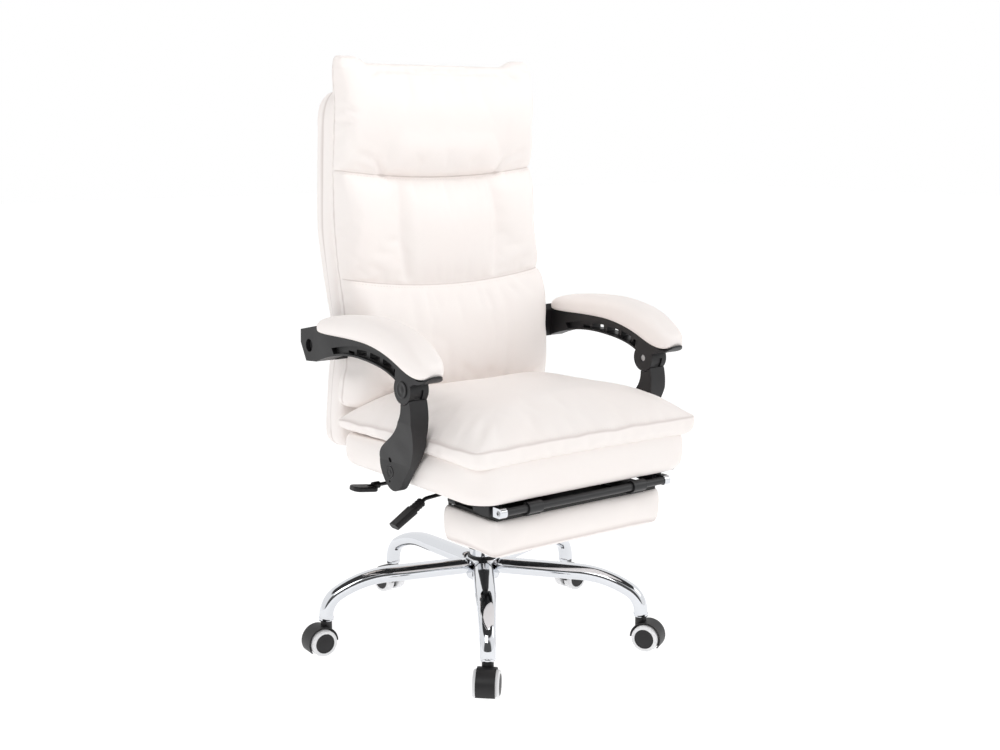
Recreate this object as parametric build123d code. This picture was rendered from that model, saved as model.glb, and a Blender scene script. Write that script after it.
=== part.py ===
from build123d import *
from math import sin, cos, tan, radians, degrees, atan2, hypot, pi
import os

# Reclining office chair with a pull-out footrest.
# Millimetres, +Z up. The sitter faces -Y; the origin is on the floor, under the gas column.
# Every left/right piece is made for the +X side and mirrored for the -X side.

os.makedirs("parts", exist_ok=True)

# ---------------------------------------------------------------- driving sizes
# casters
leg_count = 5
front_leg_azimuth = -34.9          # direction of the leg nearest the sitter's right foot, from -Y
stem_circle_radius = 309.0
wheel_diameter = 50.0
wheel_width = 18.0
wheel_core_radius = 17.8
tyre_corner = 2.2
wheel_side_gap = 0.8
caster_trail = 14.0
web_thickness = 9.0
fender_width = 34.0
fender_radius = 29.5
fender_wall = 2.4
fender_floor_gap = 9.0
boss_radius = 10.5
boss_top = 62.0
stem_radius = 5.5
stem_reach = 22.0
axle_radius = 4.0
fit_clearance = 0.05
running_gap = 0.5

# star base
hub_radius = 31.5
hub_bottom = 112.0
hub_height = 41.0
leg_root_width = 40.0
leg_root_height = 29.0
leg_tip_width = 29.0
leg_centre_height = 137.5
leg_straight = 172.0
leg_turn = 30.0
leg_tip_radius = 48.0
collar_radius = 13.0
collar_height = 8.0

# gas column and its telescopic cover
sleeve_radius = 25.0
sleeve_wall = 2.5
sleeve_top = 255.0
sleeve_floor = 4.0
guide_bush_length = 40.0
cylinder_radius = 14.0
cylinder_wall = 3.0
cylinder_bottom = 128.0
cylinder_floor = 6.0
piston_length = 14.0
rod_radius = 5.0
lift_stroke = 100.0
rod_top = cylinder_bottom + cylinder_floor + lift_stroke + piston_length + 1.0
bearing_radius = 19.0
bearing_height = 6.0
cover_wall = 1.2
cover_gap = 0.4
cover_floor = 2.0
cover_lower_radius = 30.2
cover_lower_bottom = 172.0
cover_lower_length = 68.0
cover_middle_bottom = 176.0
cover_middle_length = 74.0
cover_upper_length = 115.0
release_pin_radius = 4.5

# seat mechanism
board_bottom = 350.0
board_thickness = 12.0
mech_half_width = 60.0
mech_front = -120.0
mech_rear = 104.0
mech_wall = 3.0
mech_plate_overhang = 15.0
mech_plate_thickness = 4.0
mech_wall_depth = 46.0
socket_radius = 24.0
socket_bottom = 292.0
lever_pivot_x = 46.0
lever_rod_radius = 3.5
lever_pin_radius = 3.0
lever_lug_gap = 13.0
lever_lug_thickness = 3.0
lever_turn = 4.0
release_travel = lever_pivot_x * tan(radians(lever_turn)) + 0.2
release_lever_drop = 16.0          # the levers' pivots are set down from the board
release_lever_height = board_bottom - release_lever_drop
release_lever_y = 66.0
recline_lever_drop = 22.0
recline_lever_height = board_bottom - recline_lever_drop
recline_lever_y = -97.0
recline_knee_drop = 9.0
lever_reach = 200.0
lever_drop = 24.0

# seat
seat_front = -315.0
seat_rear = 128.0
seat_half_width = 245.0
seat_corner = 30.0
seat_tilt = 2.0
seat_tilt_y = -100.0
seat_gap_height = 416.0
seat_cushion_gap = 0.5
pillow_half_width = seat_half_width + 4.0
pillow_front = -321.0
pillow_rear = 124.0
pillow_boxing = 33.0
pillow_crown = 50.0
crown_run = 120.0
board_inset = 16.0
board_corner = 25.0
rail_thickness = 16.0
rail_height = 38.0
rail_half_length = 46.0

# armrest linkage: four pivots of a parallelogram, (y, z)
knuckle_y = -168.0
knuckle_z = 535.0
arm_rear_y = 140.0
arm_rear_z = 572.0
post_foot_y = -90.0
post_foot_z = 376.0
hinge_y = post_foot_y + arm_rear_y - knuckle_y
hinge_z = post_foot_z + arm_rear_z - knuckle_z

arm_inner_x = seat_half_width + 8.0
arm_outer_x = seat_half_width + 45.0
arm_block_inner_x = seat_half_width - 17.0
ear_thickness = 11.0
knuckle_radius = 25.0
tongue_radius = 22.0
knuckle_pin_radius = 6.0
arm_bolt_radius = 6.0
open_pivot_clearance = 0.5
post_inner_x = seat_half_width + 5.0
post_foot_outer_x = seat_half_width + 21.0
post_boss_radius = 34.0
bolt_collar_radius = 12.0
bolt_head_radius = 11.0
bolt_head_height = 4.0
arm_pad_half_width = 31.0
arm_pad_bulge = 3.0

# backrest
back_frame_front = 170.0
back_frame_thickness = 12.0
back_frame_half_width = seat_half_width - 49.0
back_frame_top = 990.0
back_bottom = 366.0
back_rear_flat = 208.5
back_block_thickness = 22.0
back_block_height = 55.0
back_block_reach = 20.0
shell_half_width = seat_half_width - 21.0
pad_bottom = 451.0
pad_half_width = shell_half_width + 2.0
pad_overlap = 10.0
channel_x = 108.0

# backrest hinge
hinge_arm_x = 110.0
hinge_arm_width = 40.0
hinge_plate = 5.0
hinge_barrel_radius = 8.0
hinge_pin_radius = 4.0
hinge_leaf_width = 16.0
hinge_leaf_plate = 4.0
hinge_leaf_top = 472.0
hinge_arm_front = 20.0

# footrest
tube_y = -304.0
tube_z = 336.0
tube_radius = 7.0
tube_wall = 1.5
runner_x = seat_half_width - 59.5
runner_radius = 5.0
footrest_travel = 230.0
runner_rear = footrest_travel - 150.0
knuckle_block_width = 13.0
knuckle_block_height = 17.0
knuckle_block_length = 28.0
knuckle_block_round = 7.5
socket_depth = 6.0
guide_width = 22.0
guide_length = 22.0
guide_centre = -175.0
guide_bottom = 325.0
front_guide = [(-283, 350), (-283, 326.5), (-262, 325), (-238, 329.5), (-238, 350)]
foot_pad_half_width = seat_half_width - 57.0
foot_pad_front = -291.0
foot_pad_rear = -137.0
foot_pad_bottom = 248.0
foot_board_bottom = 316.0
foot_board_thickness = 6.0
foot_board_inset = 7.0
strap_x = 118.0
strap_width = 30.0
strap_thickness = 4.0
strap_length = 110.0
strap_ring = 3.5


# ---------------------------------------------------------------- helpers
def save(node, shape):
    """Write one node's solids as a STEP file."""
    shape.label = node
    export_step(shape, f"parts/{node}.step")


def mirrored(shape):
    """The same piece for the -X side."""
    return mirror(shape, about=Plane.YZ)


def side_plane(x):
    """Sketch plane at x, seen from +X: its first axis is row Y, its second is row Z."""
    return Plane(origin=(x, 0, 0), x_dir=(0, 1, 0), z_dir=(1, 0, 0))


def side_prism(points, x_low, x_high):
    """A straight-edged (y, z) outline, pulled from x_low to x_high."""
    outline = make_face(Polyline(*points, close=True))
    return extrude(side_plane(x_low) * outline, x_high - x_low)


def side_disc(y, z, radius, x_low, x_high):
    """A cylinder along X."""
    return extrude(side_plane(x_low) * (Pos(y, z) * Circle(radius)), x_high - x_low)


def block(x_low, x_high, y_low, y_high, z_low, z_high):
    """A box from its two corners."""
    size = (x_high - x_low, y_high - y_low, z_high - z_low)
    centre = ((x_low + x_high) / 2, (y_low + y_high) / 2, (z_low + z_high) / 2)
    return Pos(*centre) * Box(*size)


def upright(radius, z_low, z_high, x=0.0, y=0.0):
    """A cylinder along Z."""
    return Pos(x, y, (z_low + z_high) / 2) * Cylinder(radius, z_high - z_low)


def tube_upright(outer, inner, z_low, z_high):
    """A tube along Z, on the column axis."""
    return upright(outer, z_low, z_high) - upright(inner, z_low - 1, z_high + 1)


def level_section(height, half_width, y_front, y_rear, corner, tilt=0.0):
    """A rounded rectangle, level or tipped about X, for cushions built up in layers."""
    middle = (y_front + y_rear) / 2
    lift = height - (middle - seat_tilt_y) * tan(radians(tilt))
    face = RectangleRounded(2 * half_width, y_rear - y_front, corner)
    return Pos(0, middle, lift) * Rot(-tilt, 0, 0) * face


# ---------------------------------------------------------------- star base
def leg_path_point(turn):
    """(reach, height) on the leg's two bends; turn is the slope there, from 0 to 90 degrees."""
    tip_drop = leg_tip_radius * cos(radians(leg_turn))
    first_drop = leg_centre_height - tip_drop - boss_top - collar_height
    first_radius = first_drop / (1 - cos(radians(leg_turn)))
    first = min(turn, leg_turn)
    reach = first_radius * sin(radians(first))
    drop = first_radius * (1 - cos(radians(first)))
    if turn > leg_turn:
        reach += leg_tip_radius * (sin(radians(turn)) - sin(radians(leg_turn)))
        drop += leg_tip_radius * (cos(radians(leg_turn)) - cos(radians(turn)))
    return reach, leg_centre_height - drop


def star_leg():
    """One leg along +X: a flattened tube that bends down over its caster."""
    start = stem_circle_radius - leg_path_point(90)[0]
    stations = [(start * share, leg_centre_height, 0) for share in (0.1, 0.32, 0.53, 0.75)]
    for turn in (0, 12, 24, 40, 65, 90):
        reach, height = leg_path_point(turn)
        stations.append((start + reach, height, turn))
    sections = []
    for reach, height, turn in stations:
        share = max(0.0, (reach - leg_straight) / (stem_circle_radius - leg_straight))
        width = leg_root_width + (leg_tip_width - leg_root_width) * share
        depth = leg_root_height + (2 * collar_radius - leg_root_height) * share
        across = Plane(origin=(reach, 0, height), x_dir=(0, 1, 0),
                       z_dir=(cos(radians(turn)), 0, -sin(radians(turn))))
        sections.append(across * Ellipse(width / 2, depth / 2))
    return loft(sections)


def make_star():
    """Chromed five-leg base with a socket for the gas column and one for each caster stem."""
    tip = upright(collar_radius, boss_top + 1, boss_top + collar_height + 1, x=stem_circle_radius)
    bore = upright(stem_radius + fit_clearance, 0, boss_top + stem_reach, x=stem_circle_radius)
    leg = star_leg() + tip - bore
    star = upright(hub_radius, hub_bottom, hub_bottom + hub_height)
    for index in range(leg_count):
        star += Rot(0, 0, front_leg_azimuth - 90 + index * 360 / leg_count) * leg
    return star - upright(sleeve_radius + fit_clearance, hub_bottom - 1, hub_bottom + hub_height + 1)


# ---------------------------------------------------------------- casters
# Each caster is drawn at the origin: stem on Z, wheels trailing towards +X, axle along Y.
def caster_hood():
    """Moulded body: a thin web between the wheels, a fender round them and the stem boss."""
    axle_z = wheel_diameter / 2
    plane = Plane(origin=(0, 0, 0), x_dir=(1, 0, 0), z_dir=(0, -1, 0))
    outer = Pos(caster_trail, axle_z) * Circle(fender_radius)
    inner = Pos(caster_trail, axle_z) * Circle(fender_radius - fender_wall)
    cut_low = Pos(caster_trail, fender_floor_gap - fender_radius) * Rectangle(4 * fender_radius, 2 * fender_radius)
    behind = Pos(caster_trail - 2 * fender_radius, 0) * Rectangle(3 * fender_radius, 2 * axle_z)
    ring = outer - inner - cut_low - behind
    web = outer - cut_low - behind
    hood = plane * ring
    shell = extrude(hood, fender_width / 2, both=True)
    core = extrude(plane * web, web_thickness / 2, both=True)
    boss = upright(boss_radius, axle_z + fender_radius - 12, boss_top)
    room = Pos(caster_trail, 0, axle_z) * Rot(90, 0, 0) * Cylinder(fender_radius - fender_wall, fender_width)
    side_room = room - Pos(caster_trail, 0, axle_z) * Box(4 * fender_radius, web_thickness, 4 * fender_radius)
    hood = shell + core + (boss - side_room)
    hood -= upright(stem_radius + fit_clearance, axle_z + fender_radius - fender_wall, boss_top + 1)
    hood -= Pos(caster_trail, 0, axle_z) * Rot(90, 0, 0) * Cylinder(axle_radius + fit_clearance, fender_width)
    return hood


def caster_pins():
    """Steel stem with its stop collar, and the steel axle."""
    axle_z = wheel_diameter / 2
    stem = upright(stem_radius, axle_z + fender_radius - fender_wall + 0.3, boss_top + stem_reach - 2)
    axle_length = web_thickness + 2 * (wheel_side_gap + wheel_width - 4)
    axle = Pos(caster_trail, 0, axle_z) * Rot(90, 0, 0) * Cylinder(axle_radius, axle_length)
    return stem, axle


def caster_wheel(side):
    """One wheel as two solids: the dark core with its dished cap, and the light tread ring."""
    inner_y = web_thickness / 2 + wheel_side_gap
    centre = Pos(caster_trail, side * (inner_y + wheel_width / 2), wheel_diameter / 2)
    turn = Rot(90, 0, 0) if side < 0 else Rot(-90, 0, 0)
    core = Cylinder(wheel_core_radius, wheel_width)
    dish = Pos(0, 0, wheel_width / 2) * Cone(wheel_core_radius * 0.45, wheel_core_radius * 0.75, 2.4)
    core -= dish
    core -= Pos(0, 0, -4) * Cylinder(axle_radius + fit_clearance, wheel_width)
    tyre = Cylinder(wheel_diameter / 2, wheel_width)
    tyre = fillet(tyre.edges().filter_by(GeomType.CIRCLE), tyre_corner)
    tyre -= Cylinder(wheel_core_radius, wheel_width + 2)
    return centre * turn * core, centre * turn * tyre


caster_turns = (-9.0, 12.5, 6.0, -14.0, -8.0)


def make_casters():
    """Five swivelling twin-wheel casters."""
    hood = caster_hood()
    stem, axle = caster_pins()
    wheels = {"outer": caster_wheel(-1), "inner": caster_wheel(1)}
    for index in range(leg_count):
        azimuth = front_leg_azimuth - 90 - index * 360 / leg_count
        place = Rot(0, 0, azimuth) * Pos(stem_circle_radius, 0, 0) * Rot(0, 0, caster_turns[index])
        number = index + 1
        save(f"caster_{number}_hood", place * hood)
        save(f"caster_{number}_pins", Compound(children=[place * stem, place * axle]))
        for name, (core, tyre) in wheels.items():
            save(f"caster_{number}_wheel_{name}", Compound(children=[place * core, place * tyre]))


# ---------------------------------------------------------------- gas column
def make_column():
    """Outer sleeve, rod on its thrust bearing, sliding cylinder and three telescoping covers."""
    bore = sleeve_radius - sleeve_wall
    sleeve = upright(sleeve_radius, hub_bottom - 3, sleeve_top)
    sleeve -= upright(bore, hub_bottom - 3 + sleeve_floor, sleeve_top - guide_bush_length)
    sleeve -= upright(cylinder_radius + fit_clearance, sleeve_top - guide_bush_length - 1, sleeve_top + 1)
    sleeve -= upright(rod_radius + fit_clearance, hub_bottom - 4, hub_bottom + sleeve_floor)
    save("gas_sleeve", sleeve)

    floor = hub_bottom - 3 + sleeve_floor
    rod = upright(rod_radius, hub_bottom - 7, rod_top)
    rod += upright(rod_radius + 4, hub_bottom - 7, hub_bottom - 3 - running_gap)
    rod += upright(cylinder_radius - cylinder_wall - 0.1, rod_top - piston_length, rod_top)
    save("piston_rod", rod)
    bearing = tube_upright(bearing_radius, rod_radius + fit_clearance, floor + 0.1, floor + bearing_height)
    save("thrust_bearing", bearing)

    cylinder_top = board_bottom - 28
    cylinder = upright(cylinder_radius, cylinder_bottom, cylinder_top)
    cylinder -= upright(cylinder_radius - cylinder_wall, cylinder_bottom + cylinder_floor, cylinder_top - 10)
    cylinder -= upright(rod_radius + fit_clearance, cylinder_bottom - 1, cylinder_bottom + cylinder_floor + 1)
    cylinder -= upright(release_pin_radius + fit_clearance, cylinder_top - release_travel - 7.5, cylinder_top + 1)
    save("gas_cylinder", cylinder)
    pin_top = release_lever_height - lever_rod_radius - 0.3
    save("release_button", upright(release_pin_radius, cylinder_top - 6, pin_top))

    inner = cover_lower_radius - cover_wall
    lower = tube_upright(cover_lower_radius, inner, cover_lower_bottom, cover_lower_bottom + cover_lower_length)
    lower += tube_upright(cover_lower_radius, sleeve_radius + fit_clearance, cover_lower_bottom,
                          cover_lower_bottom + cover_floor)
    save("cover_lower", lower)
    middle_radius = inner - cover_gap
    inner = middle_radius - cover_wall
    middle = tube_upright(middle_radius, inner, cover_middle_bottom, cover_middle_bottom + cover_middle_length)
    save("cover_middle", middle)
    upper_radius = inner - cover_gap
    inner = upper_radius - cover_wall
    upper = tube_upright(upper_radius, inner, socket_bottom - cover_upper_length, socket_bottom)
    save("cover_upper", upper)


# ---------------------------------------------------------------- seat mechanism and levers
plate_bolts = [(x, y) for x in (-67.5, 67.5) for y in (-100.0, 88.0)]


def make_mechanism():
    """Pressed-steel box under the seat board, with the column socket and two lever pivots."""
    top = board_bottom
    under = top - mech_plate_thickness
    low = under - mech_wall_depth
    wide = mech_half_width + mech_plate_overhang
    plate = block(-wide, wide, mech_front - 3, mech_rear + 3, under, top)
    box = block(-mech_half_width, mech_half_width, mech_front, mech_rear, low, under)
    room = mech_half_width - mech_wall
    box -= block(-room, room, mech_front + mech_wall, mech_rear - mech_wall, low - 1, under + 1)
    housing = plate + box + upright(socket_radius, socket_bottom, under)
    housing -= upright(cylinder_radius + fit_clearance, socket_bottom - 1, board_bottom - 27.7)
    housing -= upright(cylinder_radius - 3, board_bottom - 30, under)
    slots = ((0.0, release_lever_height), (recline_lever_y, recline_lever_height))
    for y, z in slots:
        for side in (-1, 1):
            face = y + side * lever_lug_gap
            y_low, y_high = sorted((face, face + side * lever_lug_thickness))
            lug_x = lever_pivot_x
            lug = block(-lug_x - 7, -lug_x + 7, y_low, y_high, z - 8, under)
            lug -= Pos(-lug_x, (y_low + y_high) / 2, z) * Rot(90, 0, 0) * Cylinder(lever_pin_radius + fit_clearance, 9)
            housing += lug
        housing -= block(-mech_half_width - 2, -mech_half_width + mech_wall + 1, y - 7, y + 7, z - 8, z + 9)
    housing -= block(-socket_radius - 1, 0, -6, 6, release_lever_height - 11, release_lever_height + 6)
    for x, y in plate_bolts:
        housing -= upright(4.0, under - 1, top + 1, x, y)
    save("mechanism_housing", housing)

    bolts = []
    for x, y in plate_bolts:
        head = extrude(Pos(x, y, under - 4) * RegularPolygon(6.5, 6), 4)
        bolts.append(head + upright(3.9, under - 4, top + board_thickness - 2, x, y))
    return bolts


def lever_rod(points, bend):
    """A round steel rod along straight runs and tangent bends."""
    path = FilletPolyline(*points, radius=bend)
    start = Plane(origin=path @ 0, z_dir=path % 0)
    return sweep(start * Circle(lever_rod_radius), path)


def lever_pin(y, z):
    """The cross pin on which a lever rocks in its two lugs."""
    length = 2 * (lever_lug_gap + lever_lug_thickness) + 2
    return Pos(-lever_pivot_x, y, z) * Rot(90, 0, 0) * Cylinder(lever_pin_radius, length)


def make_levers():
    """Height lever with a spoon paddle, and recline lever with a ribbed grip."""
    z = release_lever_height
    out_z = z - lever_drop
    y = release_lever_y
    rod = lever_rod([(0, 0, z), (-72, 0, z), (-150, y, out_z), (-lever_reach - 14, y, out_z)], 14)
    rod += lever_pin(0, z)
    save("height_lever_rod", rod)
    spoon = extrude(RectangleRounded(52, 34, 13), 4.5, both=True)
    spoon = fillet(spoon.edges(), 2.5)
    spoon = Pos(-lever_reach - 24, y, out_z - 2) * Rot(0, 8, 0) * spoon
    spoon += Pos(-lever_reach + 2, y, out_z) * Rot(0, 90, 0) * Cylinder(6.5, 14)
    save("height_lever_paddle", spoon - rod)

    z = recline_lever_height
    y = recline_lever_y
    knee = (-lever_reach + 3, y, z - recline_knee_drop)
    fall = radians(31)
    tip = (knee[0] - 30 * cos(fall), y, knee[2] - 30 * sin(fall))
    rod = lever_rod([(-28, y, z), (-80, y, z), knee, tip], 14)
    rod += lever_pin(y, z)
    save("recline_lever_rod", rod)
    along = Plane(origin=(knee[0] - 8 * cos(fall), y, knee[2] - 8 * sin(fall)),
                  x_dir=(0, 1, 0), z_dir=(-cos(fall), 0, -sin(fall)))
    grip = extrude(along * Circle(7.0), 26)
    for ring in range(4):
        grip += extrude(along.offset(2 + ring * 6.2) * Circle(8.6), 3.4)
    flat = extrude(along.offset(24) * RectangleRounded(27, 13, 6), 46, taper=1)
    save("recline_lever_grip", grip + flat - rod)


# ---------------------------------------------------------------- seat
def seat_board(z_low, z_high):
    """The seat board's outline, with rounded corners, between two heights."""
    half = seat_half_width - board_inset
    slab = block(-half, half, seat_front + board_inset, seat_rear - board_inset, z_low, z_high)
    return fillet(slab.edges().filter_by(Axis.Z), board_corner)


def seat_frame():
    """Plywood seat board with a hardwood side rail glued on where each armrest is bolted."""
    half = seat_half_width - board_inset
    board = seat_board(board_bottom, board_bottom + board_thickness)
    top = board_bottom + board_thickness
    for side in (-1, 1):
        x_low, x_high = sorted((side * (half - rail_thickness), side * half))
        board += block(x_low, x_high, post_foot_y - rail_half_length, post_foot_y + rail_half_length,
                       top - 1, top + rail_height)
    for x, y in plate_bolts:
        board -= upright(4.0, board_bottom - 1, top + 1, x, y)
    for side in (-1, 1):
        x_low, x_high = sorted((side * (half - rail_thickness - 1), side * (half + 1)))
        board -= side_disc(post_foot_y, post_foot_z, arm_bolt_radius + fit_clearance, x_low, x_high)
    return board


def make_seat():
    """Boxed base cushion over the board, and the crowned pillow pad on top of it."""
    frame = seat_frame()
    save("seat_frame", frame)
    lid = seat_gap_height - seat_cushion_gap
    layers = [
        (board_bottom, 12, 0.0), (board_bottom + 13, 2.5, 0.3), ((board_bottom + lid) / 2, 0, 1.0),
        (lid - 12, 2, seat_tilt - 0.3), (lid, 9, seat_tilt),
    ]
    base = loft([level_section(z, seat_half_width - inset, seat_front + inset, seat_rear - inset,
                               seat_corner - inset / 3, tilt) for z, inset, tilt in layers])
    half = seat_half_width - board_inset
    room = seat_board(board_bottom - 1, board_bottom + board_thickness)
    for side in (-1, 1):
        x_low, x_high = sorted((side * (half - rail_thickness), side * half))
        room += block(x_low, x_high, post_foot_y - rail_half_length, post_foot_y + rail_half_length,
                      board_bottom, board_bottom + board_thickness + rail_height)
        x_low, x_high = sorted((side * (half - 40), side * (seat_half_width + 20)))
        room += side_disc(post_foot_y, post_foot_z, bolt_collar_radius + 0.3, x_low, x_high)
    save("seat_base_cushion", base - room)

    seam = seat_gap_height + pillow_boxing
    boxing = [(seat_gap_height, 11, 24), (seat_gap_height + 11, 3, 22), (seat_gap_height + 22, 0, 20), (seam, 1, 18)]
    rises = ((0, 1, 18), (0.30, 7, 22), (0.55, 22, 26), (0.78, 48, 30), (0.93, 84, 34), (1, crown_run, 38))
    crown = [(seam + share * pillow_crown, inset, corner) for share, inset, corner in rises]
    halves = []
    for layers in (boxing, crown):
        halves.append(loft([level_section(z, pillow_half_width - inset, pillow_front + inset,
                                          pillow_rear - inset, corner, seat_tilt)
                            for z, inset, corner in layers]))
    pillow = halves[0] + halves[1]
    tuck = block(-300, 300, 66.0, 300, pad_bottom - 3.5, 600)
    pillow -= tuck
    save("seat_pillow_pad", pillow)


# ---------------------------------------------------------------- armrests
arm_top_edge = [(101, 599.5), (48, 602), (-16, 604.5), (-84, 600), (-137, 588), (-176, 571), (-213, 556)]
arm_low_edge = [(-150, 547), (-111, 560.5), (-69, 567), (-16, 570), (53, 563), (115, 545)]
arm_ridge = [(60, 577), (-3, 588), (-52, 591), (-112, 582), (-148, 567)]
arm_windows = [(4, 575.5, 20, 5, 1), (-30, 579, 33, 9, -2), (-73, 576, 32, 10, 7),
               (-111, 569.5, 28, 10, 15), (-139, 560, 15, 8, 24)]


def make_arm():
    """Moulded arm: a curved beam with a row of windows, rear block, lip and two knuckle ears."""
    top = Spline(*arm_top_edge)
    lip_out = ThreePointArc((-213, 556), (-230, 558), (-244, 566.5))
    lip_tip = Line((-244, 566.5), (-242.8, 562.6))
    lip_in = ThreePointArc((-242.8, 562.6), (-226, 552.6), (-203, 549))
    under = Line((-203, 549), (-176, 536))
    rise = Line((-176, 536), (-150, 547))
    low = Spline(*arm_low_edge)
    rear = Polyline((115, 545), (152, 542), (171, 575), (170, 599), (112, 611), (101, 599.5))
    outline = make_face([top, lip_out, lip_tip, lip_in, under, rise, low, rear])
    arm = extrude(side_plane(arm_inner_x) * outline, arm_outer_x - arm_inner_x)
    middle = (arm_inner_x + arm_outer_x) / 2
    plan = extrude(Plane(origin=(middle, -204, 500)) * RectangleRounded(arm_outer_x - arm_inner_x, 80, 15), 100)
    lip = block(arm_inner_x - 1, arm_outer_x + 1, -260, -204, 500, 600)
    arm = (arm - lip) + (arm & lip & plan)

    block_face = [(108, 546), (152, 542), (171, 575), (170, 599), (112, 611), (104, 600)]
    arm += side_prism(block_face, arm_block_inner_x, arm_inner_x + 1)

    # shallow pocket on both faces between the ridge line and the lower flange
    floor = [(y, z + 3.4) for y, z in arm_low_edge[1:-1]]
    pocket_top = Spline(*arm_ridge)
    pocket_low = Spline(*[(-146, 553)] + floor)
    join_a = Line(pocket_top @ 1, (-146, 553))
    join_b = Line(floor[-1], arm_ridge[0])
    pocket = make_face([pocket_top, join_a, pocket_low, join_b])
    for x_low, x_high in ((arm_inner_x - 1, arm_inner_x + 8), (arm_outer_x - 8, arm_outer_x + 1)):
        arm -= extrude(side_plane(x_low) * pocket, x_high - x_low)
    for y, z, length, height, turn in arm_windows:
        window = Pos(y, z) * Rot(0, 0, turn) * RectangleRounded(length, height, 2)
        arm -= extrude(side_plane(arm_inner_x - 1) * window, arm_outer_x - arm_inner_x + 2)

    arm += side_disc(knuckle_y, knuckle_z, knuckle_radius, arm_inner_x, arm_outer_x)
    slot_low = arm_inner_x + ear_thickness
    slot_high = arm_outer_x - ear_thickness
    arm -= side_disc(knuckle_y, knuckle_z, tongue_radius + 1.5, slot_low, slot_high)
    swing = [(knuckle_y + 40, knuckle_z - 22), (knuckle_y + 14, knuckle_z + 4),
             (knuckle_y - 24, knuckle_z + 2), (knuckle_y - 60, knuckle_z - 60), (knuckle_y + 60, knuckle_z - 60)]
    arm -= side_prism(swing, slot_low, slot_high)
    arm -= side_disc(knuckle_y, knuckle_z, knuckle_pin_radius + fit_clearance, arm_inner_x - 1, arm_outer_x - 3)

    bolt = arm_bolt_radius + open_pivot_clearance
    arm -= side_disc(arm_rear_y, arm_rear_z, bolt, arm_block_inner_x - 1, arm_outer_x + 1)
    arm -= side_disc(arm_rear_y, arm_rear_z, bolt_head_radius + 1, arm_outer_x - 14, arm_outer_x + 1)
    return arm


def arm_pad_section(y, z_low, z_high, half_width):
    """Cross-section of an armrest pad: flat under, drawn-in sides and a crowned top."""
    bulge = arm_pad_bulge
    side_top = z_low + 0.55 * (z_high - z_low)
    shoulder = z_low + 0.86 * (z_high - z_low)
    w = half_width
    right = ThreePointArc((w - bulge, z_low), (w, (z_low + side_top) / 2), (w - 1, side_top))
    right_top = ThreePointArc((w - 1, side_top), (w * 0.88, shoulder), (w * 0.6, z_high - 2.0))
    top = ThreePointArc((w * 0.6, z_high - 2.0), (0, z_high), (-w * 0.6, z_high - 2.0))
    left_top = ThreePointArc((-w * 0.6, z_high - 2.0), (-w * 0.88, shoulder), (-(w - 1), side_top))
    left = ThreePointArc((-(w - 1), side_top), (-w, (z_low + side_top) / 2), (-(w - bulge), z_low))
    under = Line((-(w - bulge), z_low), (w - bulge, z_low))
    face = make_face([right, right_top, top, left_top, left, under])
    middle = (arm_inner_x + arm_outer_x) / 2
    plane = Plane(origin=(middle, y, 0), x_dir=(1, 0, 0), z_dir=(0, -1, 0))
    return plane * face


def make_arm_pad(arm):
    """Upholstered pad that follows the arm's top and drops over its front."""
    w = arm_pad_half_width
    stations = [(100, 601, 612, w - 9), (92, 599, 624, w - 3), (60, 598, 633, w), (0, 599, 640, w),
                (-70, 596, 643, w), (-125, 585, 638, w), (-170, 568, 627, w), (-204, 557, 610, w - 2),
                (-227, 558, 594, w - 7), (-238, 563, 584, w - 14)]
    pad = loft([arm_pad_section(*station) for station in stations])
    return pad - arm


def make_post():
    """Moulded post: tongue in the arm's knuckle above, paddle foot on the seat bolt below."""
    front = Spline((-187, 520), (-187, 455), (-171, 420), (-152, 393), (-124, 356))
    toe = ThreePointArc((-124, 356), (-108, 345), (-90, 346))
    rear = Spline((-90, 346), (-66, 368), (-58, 396), (-94, 432), (-138, 462), (-158, 488), (-160, 520))
    head = Line((-160, 520), (-187, 520))
    outline = make_face([front, toe, rear, head])
    body = extrude(side_plane(post_inner_x - 1) * outline, 60)
    front_face = [(post_inner_x, 330), (post_foot_outer_x, 330), (post_foot_outer_x, 396),
                  (arm_outer_x - 0.5, 478), (arm_outer_x - 0.5, 530), (arm_inner_x + 0.5, 530),
                  (arm_inner_x + 0.5, 452), (post_inner_x, 436)]
    front_plane = Plane(origin=(0, 0, 0), x_dir=(1, 0, 0), z_dir=(0, -1, 0))
    limits = extrude(front_plane * make_face(Polyline(*front_face, close=True)), 300)
    body = body & limits
    body -= side_disc(knuckle_y, knuckle_z, knuckle_radius + 1.2, post_inner_x - 2, arm_outer_x + 2)
    slot_low = arm_inner_x + ear_thickness + running_gap
    slot_high = arm_outer_x - ear_thickness - running_gap
    tongue = side_disc(knuckle_y, knuckle_z, tongue_radius, slot_low, slot_high)
    neck = [(-185, 540), (-185, 505), (-161, 505), (-156, 530)]
    body += tongue
    body += side_prism(neck, slot_low, slot_high)
    foot_inner = seat_half_width + 2.0
    body += side_disc(post_foot_y, post_foot_z, post_boss_radius - 4, foot_inner, post_inner_x + 1)
    body -= side_disc(knuckle_y, knuckle_z, knuckle_pin_radius + fit_clearance, arm_inner_x, arm_outer_x)
    bolt = arm_bolt_radius + fit_clearance
    body -= side_disc(post_foot_y, post_foot_z, bolt, foot_inner - 1, post_foot_outer_x + 1)
    head_seat = post_foot_outer_x - bolt_head_height - 1
    body -= side_disc(post_foot_y, post_foot_z, bolt_head_radius + 0.5, head_seat, arm_outer_x + 1)
    body -= side_disc(post_foot_y - 2, post_foot_z + 22, 4.5, post_foot_outer_x - 2.5, arm_outer_x)
    body -= side_disc(post_foot_y + 1, post_foot_z - 17, 2.2, post_foot_outer_x - 2.5, arm_outer_x)
    return body


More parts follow.
